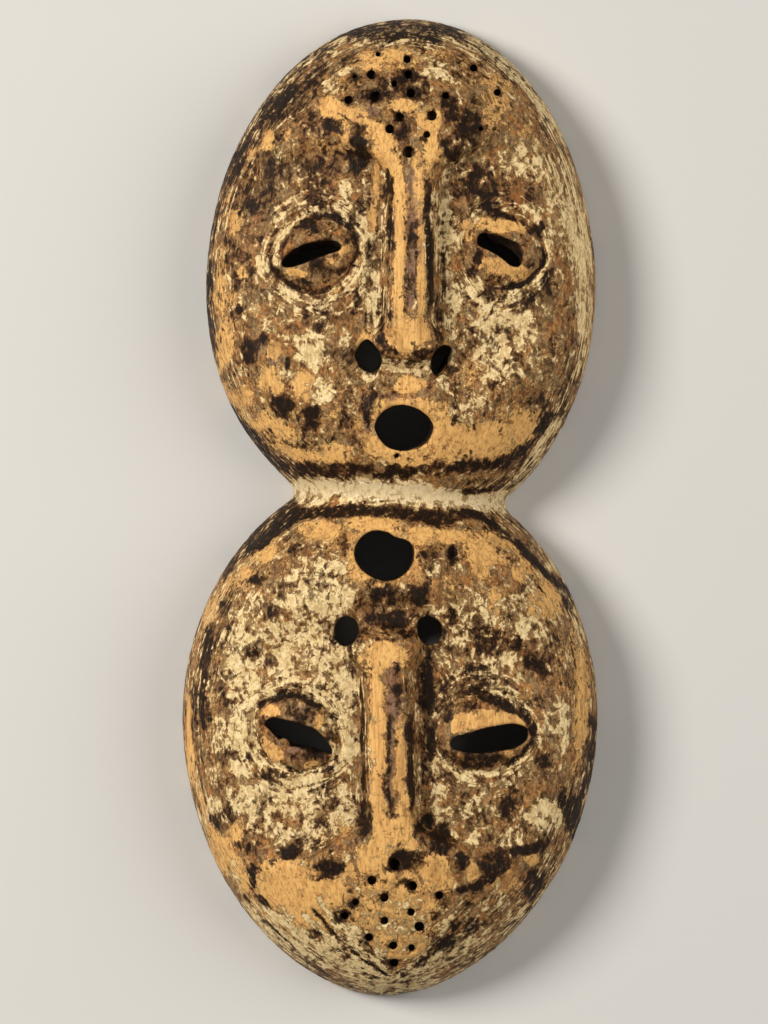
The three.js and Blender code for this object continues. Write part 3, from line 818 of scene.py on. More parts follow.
# Paint, laid on as soft strokes: x and y of the middle and half the length and width in pixels of the
# photograph, how strong in hundredths, and the turn of the length in degrees, where it has one. A stroke
# below zero takes paint off.
PALE = {
    "upper crown": [
        (400, 38, 70, 10, 25), (500, 62, 50, 7, 40, -38), (438, 72, 16, 12, 50), (545, 112, 30, 6, 40, -60),
        (310, 62, 50, 8, 10, 32), (330, 88, 12, 10, 30), (530, 165, 26, 20, 30), (510, 194, 26, 16, -25),
    ],
    "upper forehead": [
        (560, 200, 20, 50, 30), (444, 208, 5, 10, 50), (452, 228, 6, 14, 50), (434, 205, 4, 24, 30),
        (346, 190, 7, 12, 50), (280, 160, 8, 10, 40), (575, 240, 12, 60, 20), (384, 208, 4, 8, 40),
        (340, 205, 14, 5, 30),
    ],
    "upper eyes": [
        (331, 211, 20, 4, 60, 5), (361, 227, 6, 18, 90), (368, 248, 8, 26, 25), (356, 281, 14, 7, 30, 40),
        (294, 293, 14, 6, 40, -20), (458, 285, 12, 20, 25), (500, 296, 30, 5, 30, 8), (384, 235, 4, 20, 40),
    ],
    "upper left cheek": [
        (310, 350, 13, 20, 80), (320, 390, 14, 16, 35), (352, 400, 8, 14, 30), (372, 290, 8, 50, 20),
        (262, 300, 20, 12, 15), (290, 375, 18, 10, 20),
    ],
    "upper right cheek": [
        (500, 340, 50, 46, 25), (512, 328, 26, 16, 25), (500, 360, 14, 18, 25), (452, 330, 8, 50, 15),
        (584, 290, 8, 90, 35), (470, 405, 26, 18, 35), (446, 250, 8, 40, 20),
    ],
    "upper lip": [
        (406, 366, 26, 8, 90), (369, 376, 9, 6, 50), (440, 385, 14, 8, 30),
    ],
    "neck": [
        (355, 478, 34, 5, 50), (390, 492, 104, 7, 40, -3), (420, 468, 12, 4, 30),
    ],
    "lower chin": [
        (350, 600, 10, 12, 40), (315, 588, 36, 28, 40), (335, 566, 14, 10, 30), (250, 600, 16, 10, 20),
    ],
    "lower left cheek": [
        (290, 645, 66, 50, 30), (335, 690, 20, 66, 35), (240, 690, 26, 44, 20), (300, 790, 50, 20, 30),
        (240, 740, 16, 40, 40), (236, 640, 16, 24, 35), (285, 815, 50, 30, 25), (308, 830, 26, 7, 40, 10),
        (310, 846, 16, 6, 40), (345, 805, 12, 24, 30), (250, 800, 30, 14, 25),
    ],
    "lower eyes": [
        (350, 735, 8, 30, 50), (252, 712, 6, 16, 30), (508, 700, 30, 4, 40, -28), (345, 690, 14, 14, 30),
        (440, 765, 8, 20, 20),
    ],
    "lower right cheek": [
        (490, 640, 56, 50, 22), (530, 610, 24, 20, 20), (545, 815, 18, 16, 70), (510, 838, 14, 12, 60),
        (475, 838, 7, 8, 50), (470, 806, 14, 12, 30), (562, 725, 12, 30, 40), (440, 612, 20, 6, 40, 20),
        (440, 800, 12, 24, 20),
    ],
    "lower crown": [
        (280, 930, 46, 16, 50, -40), (330, 955, 50, 12, 50, -30), (450, 955, 50, 10, 35, 30),
        (392, 985, 50, 8, 50), (212, 810, 6, 16, 50), (520, 915, 40, 8, 30, 42),
        (355, 945, 34, 16, 55, -40), (490, 905, 30, 20, 20, 40), (234, 862, 3, 5, 80),
        (392, 920, 40, 34, 30),
    ],
}
WOOD = {
    "upper crown": [
        (370, 62, 18, 9, 50), (398, 54, 14, 9, 50), (334, 109, 16, 9, 90), (368, 126, 26, 9, 80, -38),
        (268, 140, 7, 11, 80), (251, 155, 6, 7, 70), (404, 107, 18, 7, 70), (430, 128, 11, 14, 80),
        (386, 150, 9, 20, 80), (434, 152, 9, 14, 70), (412, 60, 30, 16, 15), (496, 95, 18, 34, 28),
        (344, 135, 6, 18, 50),
    ],
    "upper forehead": [
        (395, 182, 6, 20, 80), (416, 175, 5, 26, 60), (432, 170, 8, 8, 40), (232, 210, 10, 40, 30, 10),
        (290, 150, 8, 30, 20), (371, 218, 6, 18, 70), (320, 150, 14, 12, 20),
    ],
    "upper nose": [
        (399, 260, 6, 80, 110), (421, 260, 4, 74, 80), (376, 185, 3, 30, 50), (405, 335, 24, 16, 80),
        (365, 345, 10, 18, 50), (446, 350, 10, 14, 40), (400, 205, 12, 14, 40),
    ],
    "upper eyes": [
        (300, 234, 7, 4, 10, 15), (324, 234, 9, 4, 10, 10), (294, 273, 12, 5, 80, -5),
        (344, 252, 10, 4, 60, 50), (330, 263, 6, 5, 40), (338, 290, 10, 4, 30), (497, 225, 34, 7, 90, -4),
        (506, 266, 26, 10, 70, -10), (518, 274, 10, 8, 30), (470, 232, 6, 10, 40),
    ],
    "upper cheeks": [
        (220, 290, 10, 50, 30), (243, 275, 6, 10, 60), (235, 300, 6, 8, 50), (258, 310, 4, 8, 50),
        (224, 350, 9, 26, 80, -8), (242, 396, 12, 12, 70, -40), (272, 378, 10, 14, 70),
        (304, 384, 10, 14, 70), (275, 350, 8, 10, 40), (275, 426, 22, 10, 60, -35), (590, 330, 8, 80, 25),
        (522, 425, 8, 16, 80), (470, 370, 10, 24, 25),
    ],
    "upper chin": [
        (478, 441, 46, 18, 100), (404, 430, 44, 34, 80), (408, 385, 16, 9, 70), (332, 452, 20, 8, 50),
        (375, 448, 14, 8, 30), (535, 430, 20, 20, 40),
    ],
    "lower chin": [
        (372, 523, 26, 8, 80), (322, 530, 24, 10, 70, 5), (262, 552, 16, 11, 80, 20), (244, 572, 8, 13, 60),
        (385, 556, 42, 30, 55), (485, 556, 18, 18, 70), (520, 573, 10, 8, 70), (493, 605, 8, 14, 70),
        (542, 604, 17, 15, 70), (575, 620, 10, 36, 30), (228, 585, 26, 7, 40, 55), (440, 536, 40, 7, 50),
    ],
    "lower nose": [
        (377, 750, 7, 110, 110), (400, 755, 5, 36, 70), (384, 656, 24, 14, 90), (347, 640, 12, 12, 30),
        (430, 632, 14, 14, 30), (384, 838, 12, 26, 80), (404, 820, 8, 26, 60),
    ],
    "lower eyes": [
        (271, 712, 11, 8, 90), (318, 722, 6, 8, 60), (270, 748, 18, 6, 90, -58), (311, 765, 8, 4, 60),
        (500, 718, 30, 8, 80, -4), (463, 722, 12, 8, 70), (464, 763, 5, 5, 40), (510, 755, 5, 5, 50),
    ],
    "lower brow": [
        (222, 850, 30, 12, 80, -65), (237, 832, 6, 12, 70), (285, 884, 30, 26, 80), (322, 894, 24, 22, 80),
        (300, 915, 26, 12, 70, -35), (392, 905, 40, 34, 55), (366, 858, 12, 14, 70), (438, 872, 14, 20, 70),
        (472, 870, 6, 9, 70), (412, 844, 6, 7, 70), (506, 884, 14, 11, 60), (532, 860, 9, 5, 60),
        (345, 870, 9, 8, 50), (345, 930, 26, 8, 40, -40), (398, 945, 30, 16, 55), (345, 820, 8, 14, 40),
    ],
    "lower edge": [
        (190, 745, 4, 60, 70), (582, 700, 8, 60, 60), (210, 615, 6, 20, 60, -15),
    ],
}
DARK = {
    "rubbed clean": [
        (399, 366, 24, 6, -30), (492, 722, 36, 5, -30, 5), (390, 492, 96, 6, -40, -3),
        (378, 160, 8, 36, -10), (584, 290, 8, 90, -25), (310, 350, 12, 18, -30),
        (270, 905, 50, 20, -15, -40), (545, 815, 16, 14, -20), (285, 884, 26, 18, -20),
        (530, 150, 26, 34, -15),
    ],
    "upper crown": [
        (390, 30, 70, 8, 40), (318, 118, 22, 16, 20), (290, 85, 66, 26, 25, 38), (400, 34, 80, 9, 45),
        (285, 112, 36, 20, 10, 40), (359, 152, 11, 34, 80), (468, 128, 14, 17, 60),
        (451, 149, 10, 14, 90, 30), (448, 112, 12, 16, 60), (412, 78, 16, 12, 35), (474, 178, 7, 18, 50),
        (422, 100, 8, 6, 30), (404, 132, 8, 12, 50), (374, 94, 16, 8, 50), (395, 82, 40, 20, 20),
        (462, 100, 12, 14, 10), (335, 128, 6, 8, 40),
    ],
    "upper forehead": [
        (250, 180, 34, 56, 20, 10), (310, 140, 40, 34, 15), (325, 165, 20, 18, 30), (285, 172, 26, 16, 20),
        (480, 180, 22, 20, 30), (508, 190, 5, 10, 40), (530, 192, 5, 10, 40), (388, 182, 5, 18, 60),
        (318, 195, 20, 16, 35), (482, 196, 24, 16, 35), (240, 262, 16, 36, 25), (568, 210, 18, 80, -25),
        (452, 190, 8, 16, 30), (235, 205, 5, 5, 40), (255, 207, 10, 5, 30), (225, 240, 2, 8, 50),
        (360, 204, 6, 8, 30),
    ],
    # The strokes down the nose's right flank, at x 428 to 444 in pixels, are dirt and painted shade on the
    # side turned from the light.
    "upper nose": [
        (369, 358, 16, 20, 25), (441, 360, 16, 20, 40), (390, 228, 4, 26, 50), (428, 215, 3, 40, 90),
        (430, 270, 4, 50, 60), (437, 325, 6, 20, 40), (369, 250, 3, 30, 30), (411, 235, 3, 14, 40),
        (385, 345, 8, 10, 30), (444, 260, 3, 50, 30),
    ],
    "upper eyes": [
        (312, 232, 22, 6, 20, 8), (318, 268, 12, 9, 40), (306, 285, 16, 5, 40, -25),
        (345, 270, 12, 4, 25, 45), (310, 225, 8, 7, 35), (340, 232, 12, 7, 10, -40),
        (288, 243, 10, 6, 20, 50), (477, 254, 5, 8, 60), (473, 270, 6, 8, 60, 30), (538, 230, 8, 9, 60),
        (530, 262, 6, 6, 30), (488, 206, 7, 5, 40), (532, 297, 9, 8, 40), (505, 288, 16, 3, 25),
        (545, 290, 8, 10, 30),
    ],
    "upper cheeks": [
        (249, 352, 10, 17, 60), (264, 338, 7, 8, 50), (240, 310, 5, 4, 40), (287, 362, 3, 10, 50),
        (318, 318, 22, 14, 30), (206, 330, 10, 90, 40), (540, 402, 16, 10, 35), (480, 300, 30, 10, 15),
        (470, 350, 8, 40, 20), (516, 360, 8, 30, 20), (350, 300, 20, 20, 20), (380, 320, 4, 30, 30),
        (454, 400, 3, 16, 40), (485, 408, 3, 14, 40), (570, 350, 8, 30, 15),
    ],
    "upper chin": [
        (268, 440, 12, 8, 30, -50), (440, 445, 16, 5, 20), (358, 446, 12, 10, 30), (400, 388, 44, 9, 20),
        (367, 420, 5, 14, 50), (343, 420, 8, 10, 40), (283, 403, 10, 13, 50), (310, 426, 8, 7, 60),
        (310, 410, 8, 8, 50), (455, 418, 3, 8, 50), (475, 426, 3, 6, 50), (500, 432, 3, 6, 50),
        (240, 425, 30, 9, 50, -50),
    ],
    "neck": [
        (470, 491, 34, 3, 50, 6), (520, 470, 12, 12, 20), (250, 520, 20, 16, 30, 40),
    ],
    "lower chin": [
        (452, 553, 5, 8, 90), (404, 594, 34, 10, 50), (400, 608, 40, 24, 20), (390, 622, 30, 12, 40),
        (298, 549, 10, 6, 40), (345, 550, 5, 10, 50), (254, 580, 14, 4, 50, 5), (430, 560, 8, 16, 35),
        (520, 590, 12, 5, 30), (225, 560, 26, 6, 40, 50), (570, 560, 36, 7, 30, -50), (568, 600, 8, 16, 50),
        (425, 520, 40, 8, 40),
    ],
    # The strokes down the right of the lower nose, at x 411 to 430 in pixels, are dirt and painted shade on
    # the side turned from the light.
    "lower nose": [
        (346, 632, 17, 20, 35), (430, 631, 17, 20, 40), (411, 765, 4, 50, 80), (424, 745, 8, 70, 25),
        (389, 750, 2, 60, 35), (396, 685, 6, 26, 40), (364, 735, 3, 56, 35), (430, 705, 6, 56, 20),
        (391, 808, 3, 12, 40), (400, 770, 8, 40, -20),
    ],
    "lower eyes": [
        (280, 699, 14, 5, 50, 5), (296, 712, 14, 10, 35), (310, 756, 24, 7, 40), (261, 724, 5, 7, 40),
        (337, 716, 4, 4, 70), (480, 762, 24, 8, 55), (448, 757, 10, 10, 45), (500, 757, 8, 6, 50),
        (470, 706, 10, 7, 35), (448, 720, 6, 8, 30), (470, 690, 8, 6, 30), (330, 738, 6, 8, 30),
    ],
    "lower brow": [
        (398, 860, 13, 11, 90), (414, 858, 14, 9, 60), (425, 822, 8, 12, 80, -30),
        (440, 838, 18, 14, 50, -30), (442, 846, 10, 8, 50, -40), (459, 863, 5, 10, 80),
        (496, 866, 15, 16, 90), (530, 850, 22, 7, 70, 15), (475, 885, 22, 5, 70, 15),
        (532, 884, 14, 18, 50, 30), (508, 806, 9, 14, 50), (252, 880, 5, 18, 80, -8),
        (262, 900, 12, 4, 70, -45), (292, 853, 9, 8, 70), (316, 845, 7, 7, 60), (333, 868, 16, 9, 60),
        (305, 877, 26, 4, 60), (255, 850, 12, 7, 30), (363, 820, 8, 20, 60), (330, 806, 13, 6, 35),
        (262, 822, 20, 16, 20), (217, 825, 12, 5, 50, -60), (447, 945, 14, 9, 50, 30),
        (472, 928, 10, 7, 40, 30), (315, 935, 6, 5, 50), (400, 880, 10, 6, 40), (355, 905, 6, 6, 30),
        (570, 815, 9, 30, 60, 15),
    ],
    "lower cheeks": [
        (272, 612, 8, 14, 40), (300, 605, 6, 8, 30), (250, 650, 6, 10, 40), (270, 660, 10, 8, 35),
        (225, 608, 8, 8, 30), (210, 640, 6, 18, 40), (205, 665, 7, 18, 50), (200, 692, 8, 10, 40),
        (352, 665, 7, 16, 30), (450, 615, 8, 8, 50), (515, 642, 9, 9, 50), (540, 665, 12, 12, 50),
        (470, 668, 8, 8, 40), (425, 665, 6, 8, 15), (405, 690, 6, 8, 40), (545, 760, 12, 14, 40),
        (225, 814, 12, 6, 20), (440, 670, 22, 28, 5), (480, 640, 24, 18, 35), (455, 680, 40, 18, 25),
        (200, 715, 10, 20, 40), (525, 640, 40, 40, 10),
    ],
}
RUST = {
    "upper": [
        (520, 250, 60, 110, 20), (510, 192, 28, 20, 80), (560, 270, 8, 20, 30), (538, 400, 20, 14, 60),
        (462, 110, 14, 30, 40), (262, 330, 14, 20, 20), (434, 170, 8, 16, 50), (388, 335, 10, 16, 40),
        (238, 395, 26, 36, 30, -30), (350, 432, 16, 26, 30), (480, 440, 50, 12, 15), (225, 300, 14, 50, 20),
        (400, 70, 50, 20, 30),
    ],
    "lower": [
        (300, 545, 44, 14, 25, -20), (450, 562, 26, 22, 30), (515, 560, 30, 24, 25), (480, 680, 40, 30, 15),
        (370, 604, 14, 6, 60), (400, 580, 30, 8, 40), (340, 545, 8, 20, 50), (560, 600, 16, 24, 30),
        (262, 725, 5, 16, 50), (508, 884, 12, 12, 60), (430, 735, 4, 60, 30), (500, 775, 30, 10, 30),
        (460, 930, 30, 20, 30, 30),
    ],
}
VIOLET = {
    "upper": [
        (411, 262, 5, 60, 110), (420, 225, 4, 50, 40), (404, 132, 9, 14, 80), (374, 110, 8, 6, 70),
        (385, 85, 30, 10, 40), (410, 180, 5, 24, 60), (412, 395, 44, 9, 50), (340, 240, 16, 12, 40),
        (290, 90, 50, 20, 30, 35), (272, 362, 4, 5, 60), (367, 420, 6, 14, 60),
    ],
    "lower": [
        (391, 740, 4, 90, 50), (396, 690, 8, 36, 60), (430, 560, 8, 16, 40), (300, 709, 16, 12, 60),
        (352, 665, 8, 18, 50), (535, 690, 30, 20, 30), (330, 872, 20, 9, 50), (306, 754, 26, 8, 90),
        (460, 520, 30, 8, 30),
    ],
}
# Long thin strokes: half the width in pixels, how strong in hundredths, and points along the line
# cream clay on the neck band, laid on thick enough to take the painted light of the brightest colours
NECK_LINES = {
    "neck": (10, 110, (298, 491), (340, 490), (380, 492), (420, 494), (450, 499), (480, 503), (506, 503)),
}
PALE_LINES = {
    "upper right edge": (2.5, 70, (470, 35), (500, 52), (512, 66), (520, 78), (545, 110), (560, 135)),
    "upper left edge": (3, 20, (345, 40), (300, 66), (262, 105), (236, 150)),
    "crown arc": (3, 40, (372, 34), (400, 28), (430, 30), (470, 46)),
    "right chin": (6, 50, (556, 420), (540, 450), (524, 475), (512, 496), (526, 520), (550, 550),
        (570, 580)),
    "left chin": (3, 30, (255, 455), (275, 475), (292, 490)),
    "cheek streak 1": (2.5, 30, (354, 262), (350, 280), (338, 296)),
    "cheek streak 2": (2.5, 30, (364, 262), (364, 285), (352, 305)),
    "lower right cheek": (3, 50, (560, 590), (574, 610), (582, 640)),
    "crown groove 1": (2.2, 90, (318, 898), (346, 938), (388, 971)),
    "crown groove 2": (2.6, 80, (304, 915), (342, 952), (385, 981)),
    "crown groove 3": (2.2, 80, (456, 912), (432, 946), (402, 972)),
    "crown groove 4": (2.2, 70, (474, 922), (442, 956), (404, 982)),
    "left eye rim": (2.5, 50, (274, 262), (280, 238), (303, 216), (325, 209), (345, 212), (361, 230),
        (366, 250)),
    "left eye arc": (2.5, 40, (280, 285), (300, 300), (325, 303), (350, 292), (368, 270)),
    "right eye arc": (2.5, 45, (478, 284), (494, 298), (515, 300), (536, 292), (550, 274)),
    "right eye rim": (1.6, 70, (527, 232), (540, 248), (546, 264)),
    "lower right eye rim": (2, 60, (505, 697), (522, 708), (537, 724), (541, 738)),
    "lower right eye arc": (2, 50, (446, 764), (465, 774), (490, 774), (515, 763), (534, 748)),
    "lower left eye rim": (3, 50, (300, 688), (325, 704), (345, 722), (348, 750), (336, 768)),
}
WOOD_LINES = {
    "lower chin right arc": (5, 40, (490, 532), (520, 552), (545, 580), (562, 610)),
    "lower left edge": (3, 50, (188, 700), (188, 740), (198, 790), (216, 840)),
    "chin left": (5, 40, (225, 385), (250, 422), (272, 442), (300, 456), (345, 460)),
    "right lid": (4, 60, (455, 730), (480, 724), (510, 716), (530, 722)),
    "lower brow": (6, 50, (240, 870), (254, 910), (290, 935)),
}
DARK_LINES = {
    "left chin": (9, 50, (216, 395), (232, 425), (254, 450), (282, 466), (318, 474)),
    "middle chin": (6.5, 50, (332, 470), (366, 472), (404, 472), (440, 469), (470, 467), (502, 464)),
    "right chin": (6, 55, (500, 462), (520, 452), (535, 438), (550, 415)),
    "outside of the left chin": (8, 30, (234, 568), (262, 528), (292, 504)),
    # The lines under the neck are a near-black line of dirt with a painted shadow band along the foot of the
    # neck.
    "under neck left": (6, 75, (252, 550), (270, 533), (286, 520), (300, 513), (340, 510)),
    "under neck middle": (6, 65, (340, 511), (400, 512), (440, 516), (465, 513)),
    "under neck right": (4, 65, (465, 512), (480, 516), (505, 534), (530, 556), (560, 588)),
    # the line along the upper face's left outline is dark paint and painted shade where the form turns from
    # the light
    "left outline": (6, 35, (206, 400), (199, 330), (203, 260), (222, 190), (250, 140), (290, 90)),
    "lower right outline": (5, 40, (592, 720), (588, 780), (572, 830)),
    "left cheek thread": (1.5, 50, (360, 680), (363, 710), (361, 740), (363, 790)),
    "crown groove 1": (1.8, 35, (311, 906), (344, 945), (386, 976)),
    "crown groove 2": (1.8, 20, (326, 896), (354, 932), (390, 965)),
    "crown groove 3": (1.8, 45, (464, 918), (438, 950), (402, 977)),
    "brow streak 1": (2, 25, (322, 905), (336, 922), (352, 942)),
    "brow streak 2": (1.8, 60, (244, 895), (262, 918), (292, 944)),
    "nose groove left": (1, 30, (405, 218), (405, 318)),
    "nose groove right": (1, 30, (417, 218), (415, 318)),
    # dirt and painted shadow under the brow, over the left eye
    "left eye crease": (3.2, 60, (296, 226), (306, 220), (322, 216), (338, 218), (350, 227), (357, 240)),
    "left eye thin crease": (1.2, 30, (281, 262), (284, 245), (292, 230), (300, 222)),
    "left eye lower arc": (2.5, 60, (272, 268), (282, 278), (296, 289), (314, 294), (330, 288)),
    "left lid wrinkles": (1, 40, (322, 284), (340, 274), (352, 262)),
    "right eye crease": (3, 60, (484, 205), (497, 211), (510, 217), (522, 222), (530, 232)),
    "right eye lower arc": (3, 65, (505, 288), (520, 285), (532, 277), (541, 267), (545, 255)),
    "right eye brow line": (1.2, 40, (462, 222), (472, 212), (486, 204), (505, 202), (522, 214)),
    "lower right eye crease": (4, 75, (478, 692), (490, 698), (505, 705), (520, 713), (531, 724),
        (535, 737)),
    "lower right eye corner": (3.5, 60, (535, 735), (530, 748), (518, 757), (505, 762)),
    "lower left eye top": (3, 50, (262, 704), (270, 697), (284, 693), (300, 696), (318, 706), (334, 718)),
    "lower left eye bottom": (1.5, 40, (262, 740), (270, 754), (284, 766), (305, 774), (330, 770),
        (338, 756)),
    "nose arc": (1.5, 40, (380, 352), (394, 362), (410, 364), (426, 358)),
    "nose end": (2, 40, (382, 330), (385, 345), (396, 353)),
    # dirt and painted shade down the right flank of the lower nose
    "right of the lower nose": (2.5, 35, (428, 650), (432, 700), (430, 750), (434, 800)),
    "lower nose end": (2, 40, (362, 632), (380, 640), (400, 640), (414, 632)),
}
STROKE_WARP = 8  # how far noise pulls a wide stroke's edge about, in pixels
STROKE_WARP_SIZE = 5.5  # and the size of its blots, in mm
STROKE_PULL, LINE_PULL = 0.7, 0.8  # the most it pulls a narrow one, as a share of the width
STROKE_EDGE, LINE_EDGE = (0.35, 1.35), (0.35, 1.5)
PALE_OFF_WOOD = 0.25  # how much of the clay goes where the wood shows
DARK_OFF_WOOD = 0.38
PALE_MOST = 0.72  # flecks of other colours stay in the thickest paint
DARK_MOST = 0.95
LAYER_MOST = 1.4
RUST_EVERYWHERE, VIOLET_EVERYWHERE = 0.15, 0.1
# The paint that goes with the form, as shares of a full coat
PALE_ALL, PALE_HOLLOWS, PALE_RIM, PALE_LID_ARC, PALE_LID = 0.27, 0.08, 0.06, 0.1, -0.14
WOOD_ALL, WOOD_CRESTS, WOOD_RIM = 0.3, 0.1, -0.2
# DARK_RIM is painted shade towards the outline. DARK_LID_GROOVE, DARK_HOLES, DARK_MARKS and DARK_DOTS darken
# the grooves round the eyes, the holes, the knife lines and the dots with dirt and painted shade.
DARK_ALL, DARK_RIM, DARK_LID_GROOVE, DARK_LID, DARK_NOSE_GROOVE = 0.33, 0.06, 0.14, 0.04, 0.05
DARK_HOLES, DARK_MARKS, DARK_DOTS = 0.5, 0.22, 0.25
PALE_EDGE, DARK_EDGE = (0.85, 1), (0.86, 1)  # shares of the way to the outline, for the clay and for the painted shade along it
HOLLOW_START, CREST_END = 1, 3  # what the hollow takes off where its clay begins and a crest's wood ends
LID_EDGE = (-2, 0)
LID_ARC_PAINT, LID_GROOVE_OUT, LID_GROOVE_PAINT = 1.8, 0.1, 1
NOSE_GROOVE_FROM, NOSE_GROOVE_PAINT = 0.3, 1
SLIT_SHADE, HOLE_SHADE = (0.5, 2.2), (1, 5)  # depths at which the painted shade inside begins and is full
WALL_SHADE, WALL_OUT = (0.6, 2), (0.5, 2)  # the same for the dirt and painted shade on the walls, and how far out from the wall both end
MARK_SHADE = (0.1, 0.6)
DOT_SHADE, DOT_OUT, DOT_REACH, DOT_RING = (0.8, 2.5), (0, 0.5), 2, 0.9
# Streaks of paint
OUTLINE_STREAKS = (0.72, 0.95)
V_MARKS_TIP = 97  # where the two rows of tool marks on the lower crown meet, in mm from the face's middle
V_MARKS_SIDE, V_MARKS_END = (4, 8), (24, 32)
EYE_STREAKS, EYE_STREAKS_END = (-3, 0), (5, 11)
NOSE_SIDE, NOSE_SIDE_START, NOSE_SIDE_END = 5, (-2, 1), (8, 14)
NOSE_STREAK_START, NOSE_STREAK_END = (-22, -14), (24, 34)


def stroked(groups, lines, px, py, pull_x, pull_y):
    total = np.zeros(len(px))
    for width, strength, *points in lines.values():
        pull = min(STROKE_WARP, LINE_PULL * width)
        out = line_distance(points, px + pull * pull_x, py + pull * pull_y)
        total += strength / 100 * (1 - ramp(*LINE_EDGE, out / width))
    for x, y, length, width, strength, *turn in itertools.chain(*groups.values()):
        turn = math.radians(turn[0]) if turn else 0
        c, s = math.cos(turn), math.sin(turn)
        pull = min(STROKE_WARP, STROKE_PULL * min(length, width))
        dx, dy = px + pull * pull_x - x, py + pull * pull_y - y
        out = np.hypot((dx * c - dy * s) / length, (dx * s + dy * c) / width)
        total += strength / 100 * (1 - ramp(*STROKE_EDGE, out))
    return total


def face_top(x, y):
    """Height of the carved front."""
    heights = [face_height(face, *face.local(x, y)) for face in FACES]
    return np.maximum(heights[0], heights[1])


def face_paint(face, u, v):
    """Clay in the hollows, dirt and painted shade in the cuts, painted shade towards the outline and wood
    where hands rub, as shares on one face.
    """
    off = hollowed(face, u, v)
    radius = plan_radius(face, u, v)[0]
    edge = ramp(*PALE_EDGE, radius)
    pale = PALE_ALL + PALE_HOLLOWS * ramp(HOLLOW_START, HEART_DEPTH, off) + PALE_RIM * edge
    wood = WOOD_ALL + WOOD_CRESTS * (1 - ramp(0, CREST_END, off)) + WOOD_RIM * edge
    # painted shade, darker towards the outline
    dark = DARK_ALL + DARK_RIM * ramp(*DARK_EDGE, radius)
    for eye in face.eyes:
        out = lid_distance(eye, u, v)
        lid = 1 - ramp(*LID_EDGE, out)
        pale += PALE_LID_ARC * bell(out - LID_ARC_OUT, LID_ARC_PAINT) + PALE_LID * lid
        # dark in the groove round the eye: dirt and painted shade
        dark += DARK_LID_GROOVE * bell(out - LID_GROOVE_OUT, LID_GROOVE_PAINT) + DARK_LID * lid
    in_groove = nose_groove(face, u, v) > NOSE_GROOVE_FROM
    dark += DARK_NOSE_GROOVE * in_groove * bell(u - nose_axis(face, v), NOSE_GROOVE_PAINT)
    return pale, wood, dark


def hole_paint(x, y, z, dark):
    """Adds dirt and painted shade round the holes and dots, and gives how much of each point lies in the
    painted shade inside one.
    """
    inside = np.zeros(len(x))
    for hole in HOLE_LIST:
        here = near(x[:, None], y[:, None], hole["at"], hole["reach"])
        out = hole_distance(hole, x[here, None], y[here, None], z[here, None])[:, 0]
        depth = face_top(x[here], y[here]) - z[here]
        wall = 1 - ramp(*WALL_OUT, out)
        # painted shade: a hole's wall darkens with depth
        shade = ramp(*(SLIT_SHADE if hole["lips"] else HOLE_SHADE), depth)
        inside[here] = np.maximum(inside[here], shade * wall)
        # dirt and painted shade on the wall, darker further down
        dark[here] += DARK_HOLES * ramp(*WALL_SHADE, depth) * wall
    for dx, dy, radius, top in DOT_LIST:
        here = near(x[:, None], y[:, None], (dx, dy), radius + DOT_REACH)
        out = np.hypot(x[here] - dx, y[here] - dy) - radius
        # painted shade: a dot's wall darkens with depth
        shade = ramp(*DOT_SHADE, top - z[here])
        inside[here] = np.maximum(inside[here], shade * (1 - ramp(*DOT_OUT, out)))
        # a dark ring at the dot's edge: dirt and painted shade
        dark[here] += DARK_DOTS * bell(out, DOT_RING)
    return inside


def form_paint(points):
    """The shares of clay, bare wood, dark paint of dirt and painted shade, and painted shade inside the
    holes, that go with the form.
    """
    x, y, z = points.T
    paints = [face_paint(face, *face.local(x, y)) for face in FACES]
    pale, wood, dark = np.where(y > NECK_Y, *paints)
    # dark in the knife lines and pits: dirt and painted shade
    dark += DARK_MARKS * ramp(*MARK_SHADE, marked(x, y))
    inside = hole_paint(x, y, z, dark)
    return pale, wood, dark, inside


def painted(piece):
    """Gives the mesh its layers of paint as attributes that the material reads."""
    mesh = piece.data
    flat = np.empty(len(mesh.vertices) * 3, np.float32)
    mesh.vertices.foreach_get("co", flat)
    points = flat.reshape(-1, 3).astype(float) / MM
    front = front_share(points)
    pulls = [2 * finer_noise(points, STROKE_WARP_SIZE, SEEDS[name]) - 1 for name in ("pull_x", "pull_y")]
    place = *to_photo(*points.T), *pulls
    pale, wood, dark, inside = form_paint(points)
    bare = stroked(WOOD, WOOD_LINES, *place)
    pale += stroked(PALE, PALE_LINES, *place) - PALE_OFF_WOOD * bare
    # the neck's clay goes past the limit, for the painted light on it
    pale = np.minimum(pale, PALE_MOST) + stroked({}, NECK_LINES, *place)
    dark += stroked(DARK, DARK_LINES, *place) - DARK_OFF_WOOD * bare
    flow, flow_share = streak_places(points)
    layers = {
        "pale": pale * front,
        "wood": (wood + bare) * front,
        "dark": np.minimum(dark, DARK_MOST) * front,
        "rust": (RUST_EVERYWHERE + stroked(RUST, {}, *place)) * front,
        "violet": (VIOLET_EVERYWHERE + stroked(VIOLET, {}, *place)) * front,
        # painted shade inside the holes and dots
        "inside": inside,
        "back": 1 - front,
        "flow_share": flow_share * front,
    }
    for name, layer in layers.items():
        attribute = mesh.attributes.new(name, "FLOAT", "POINT")
        attribute.data.foreach_set("value", np.clip(layer, 0, LAYER_MOST).astype(np.float32))
    attribute = mesh.attributes.new("flow", "FLOAT_VECTOR", "POINT")
    attribute.data.foreach_set("vector", flow.astype(np.float32).ravel())


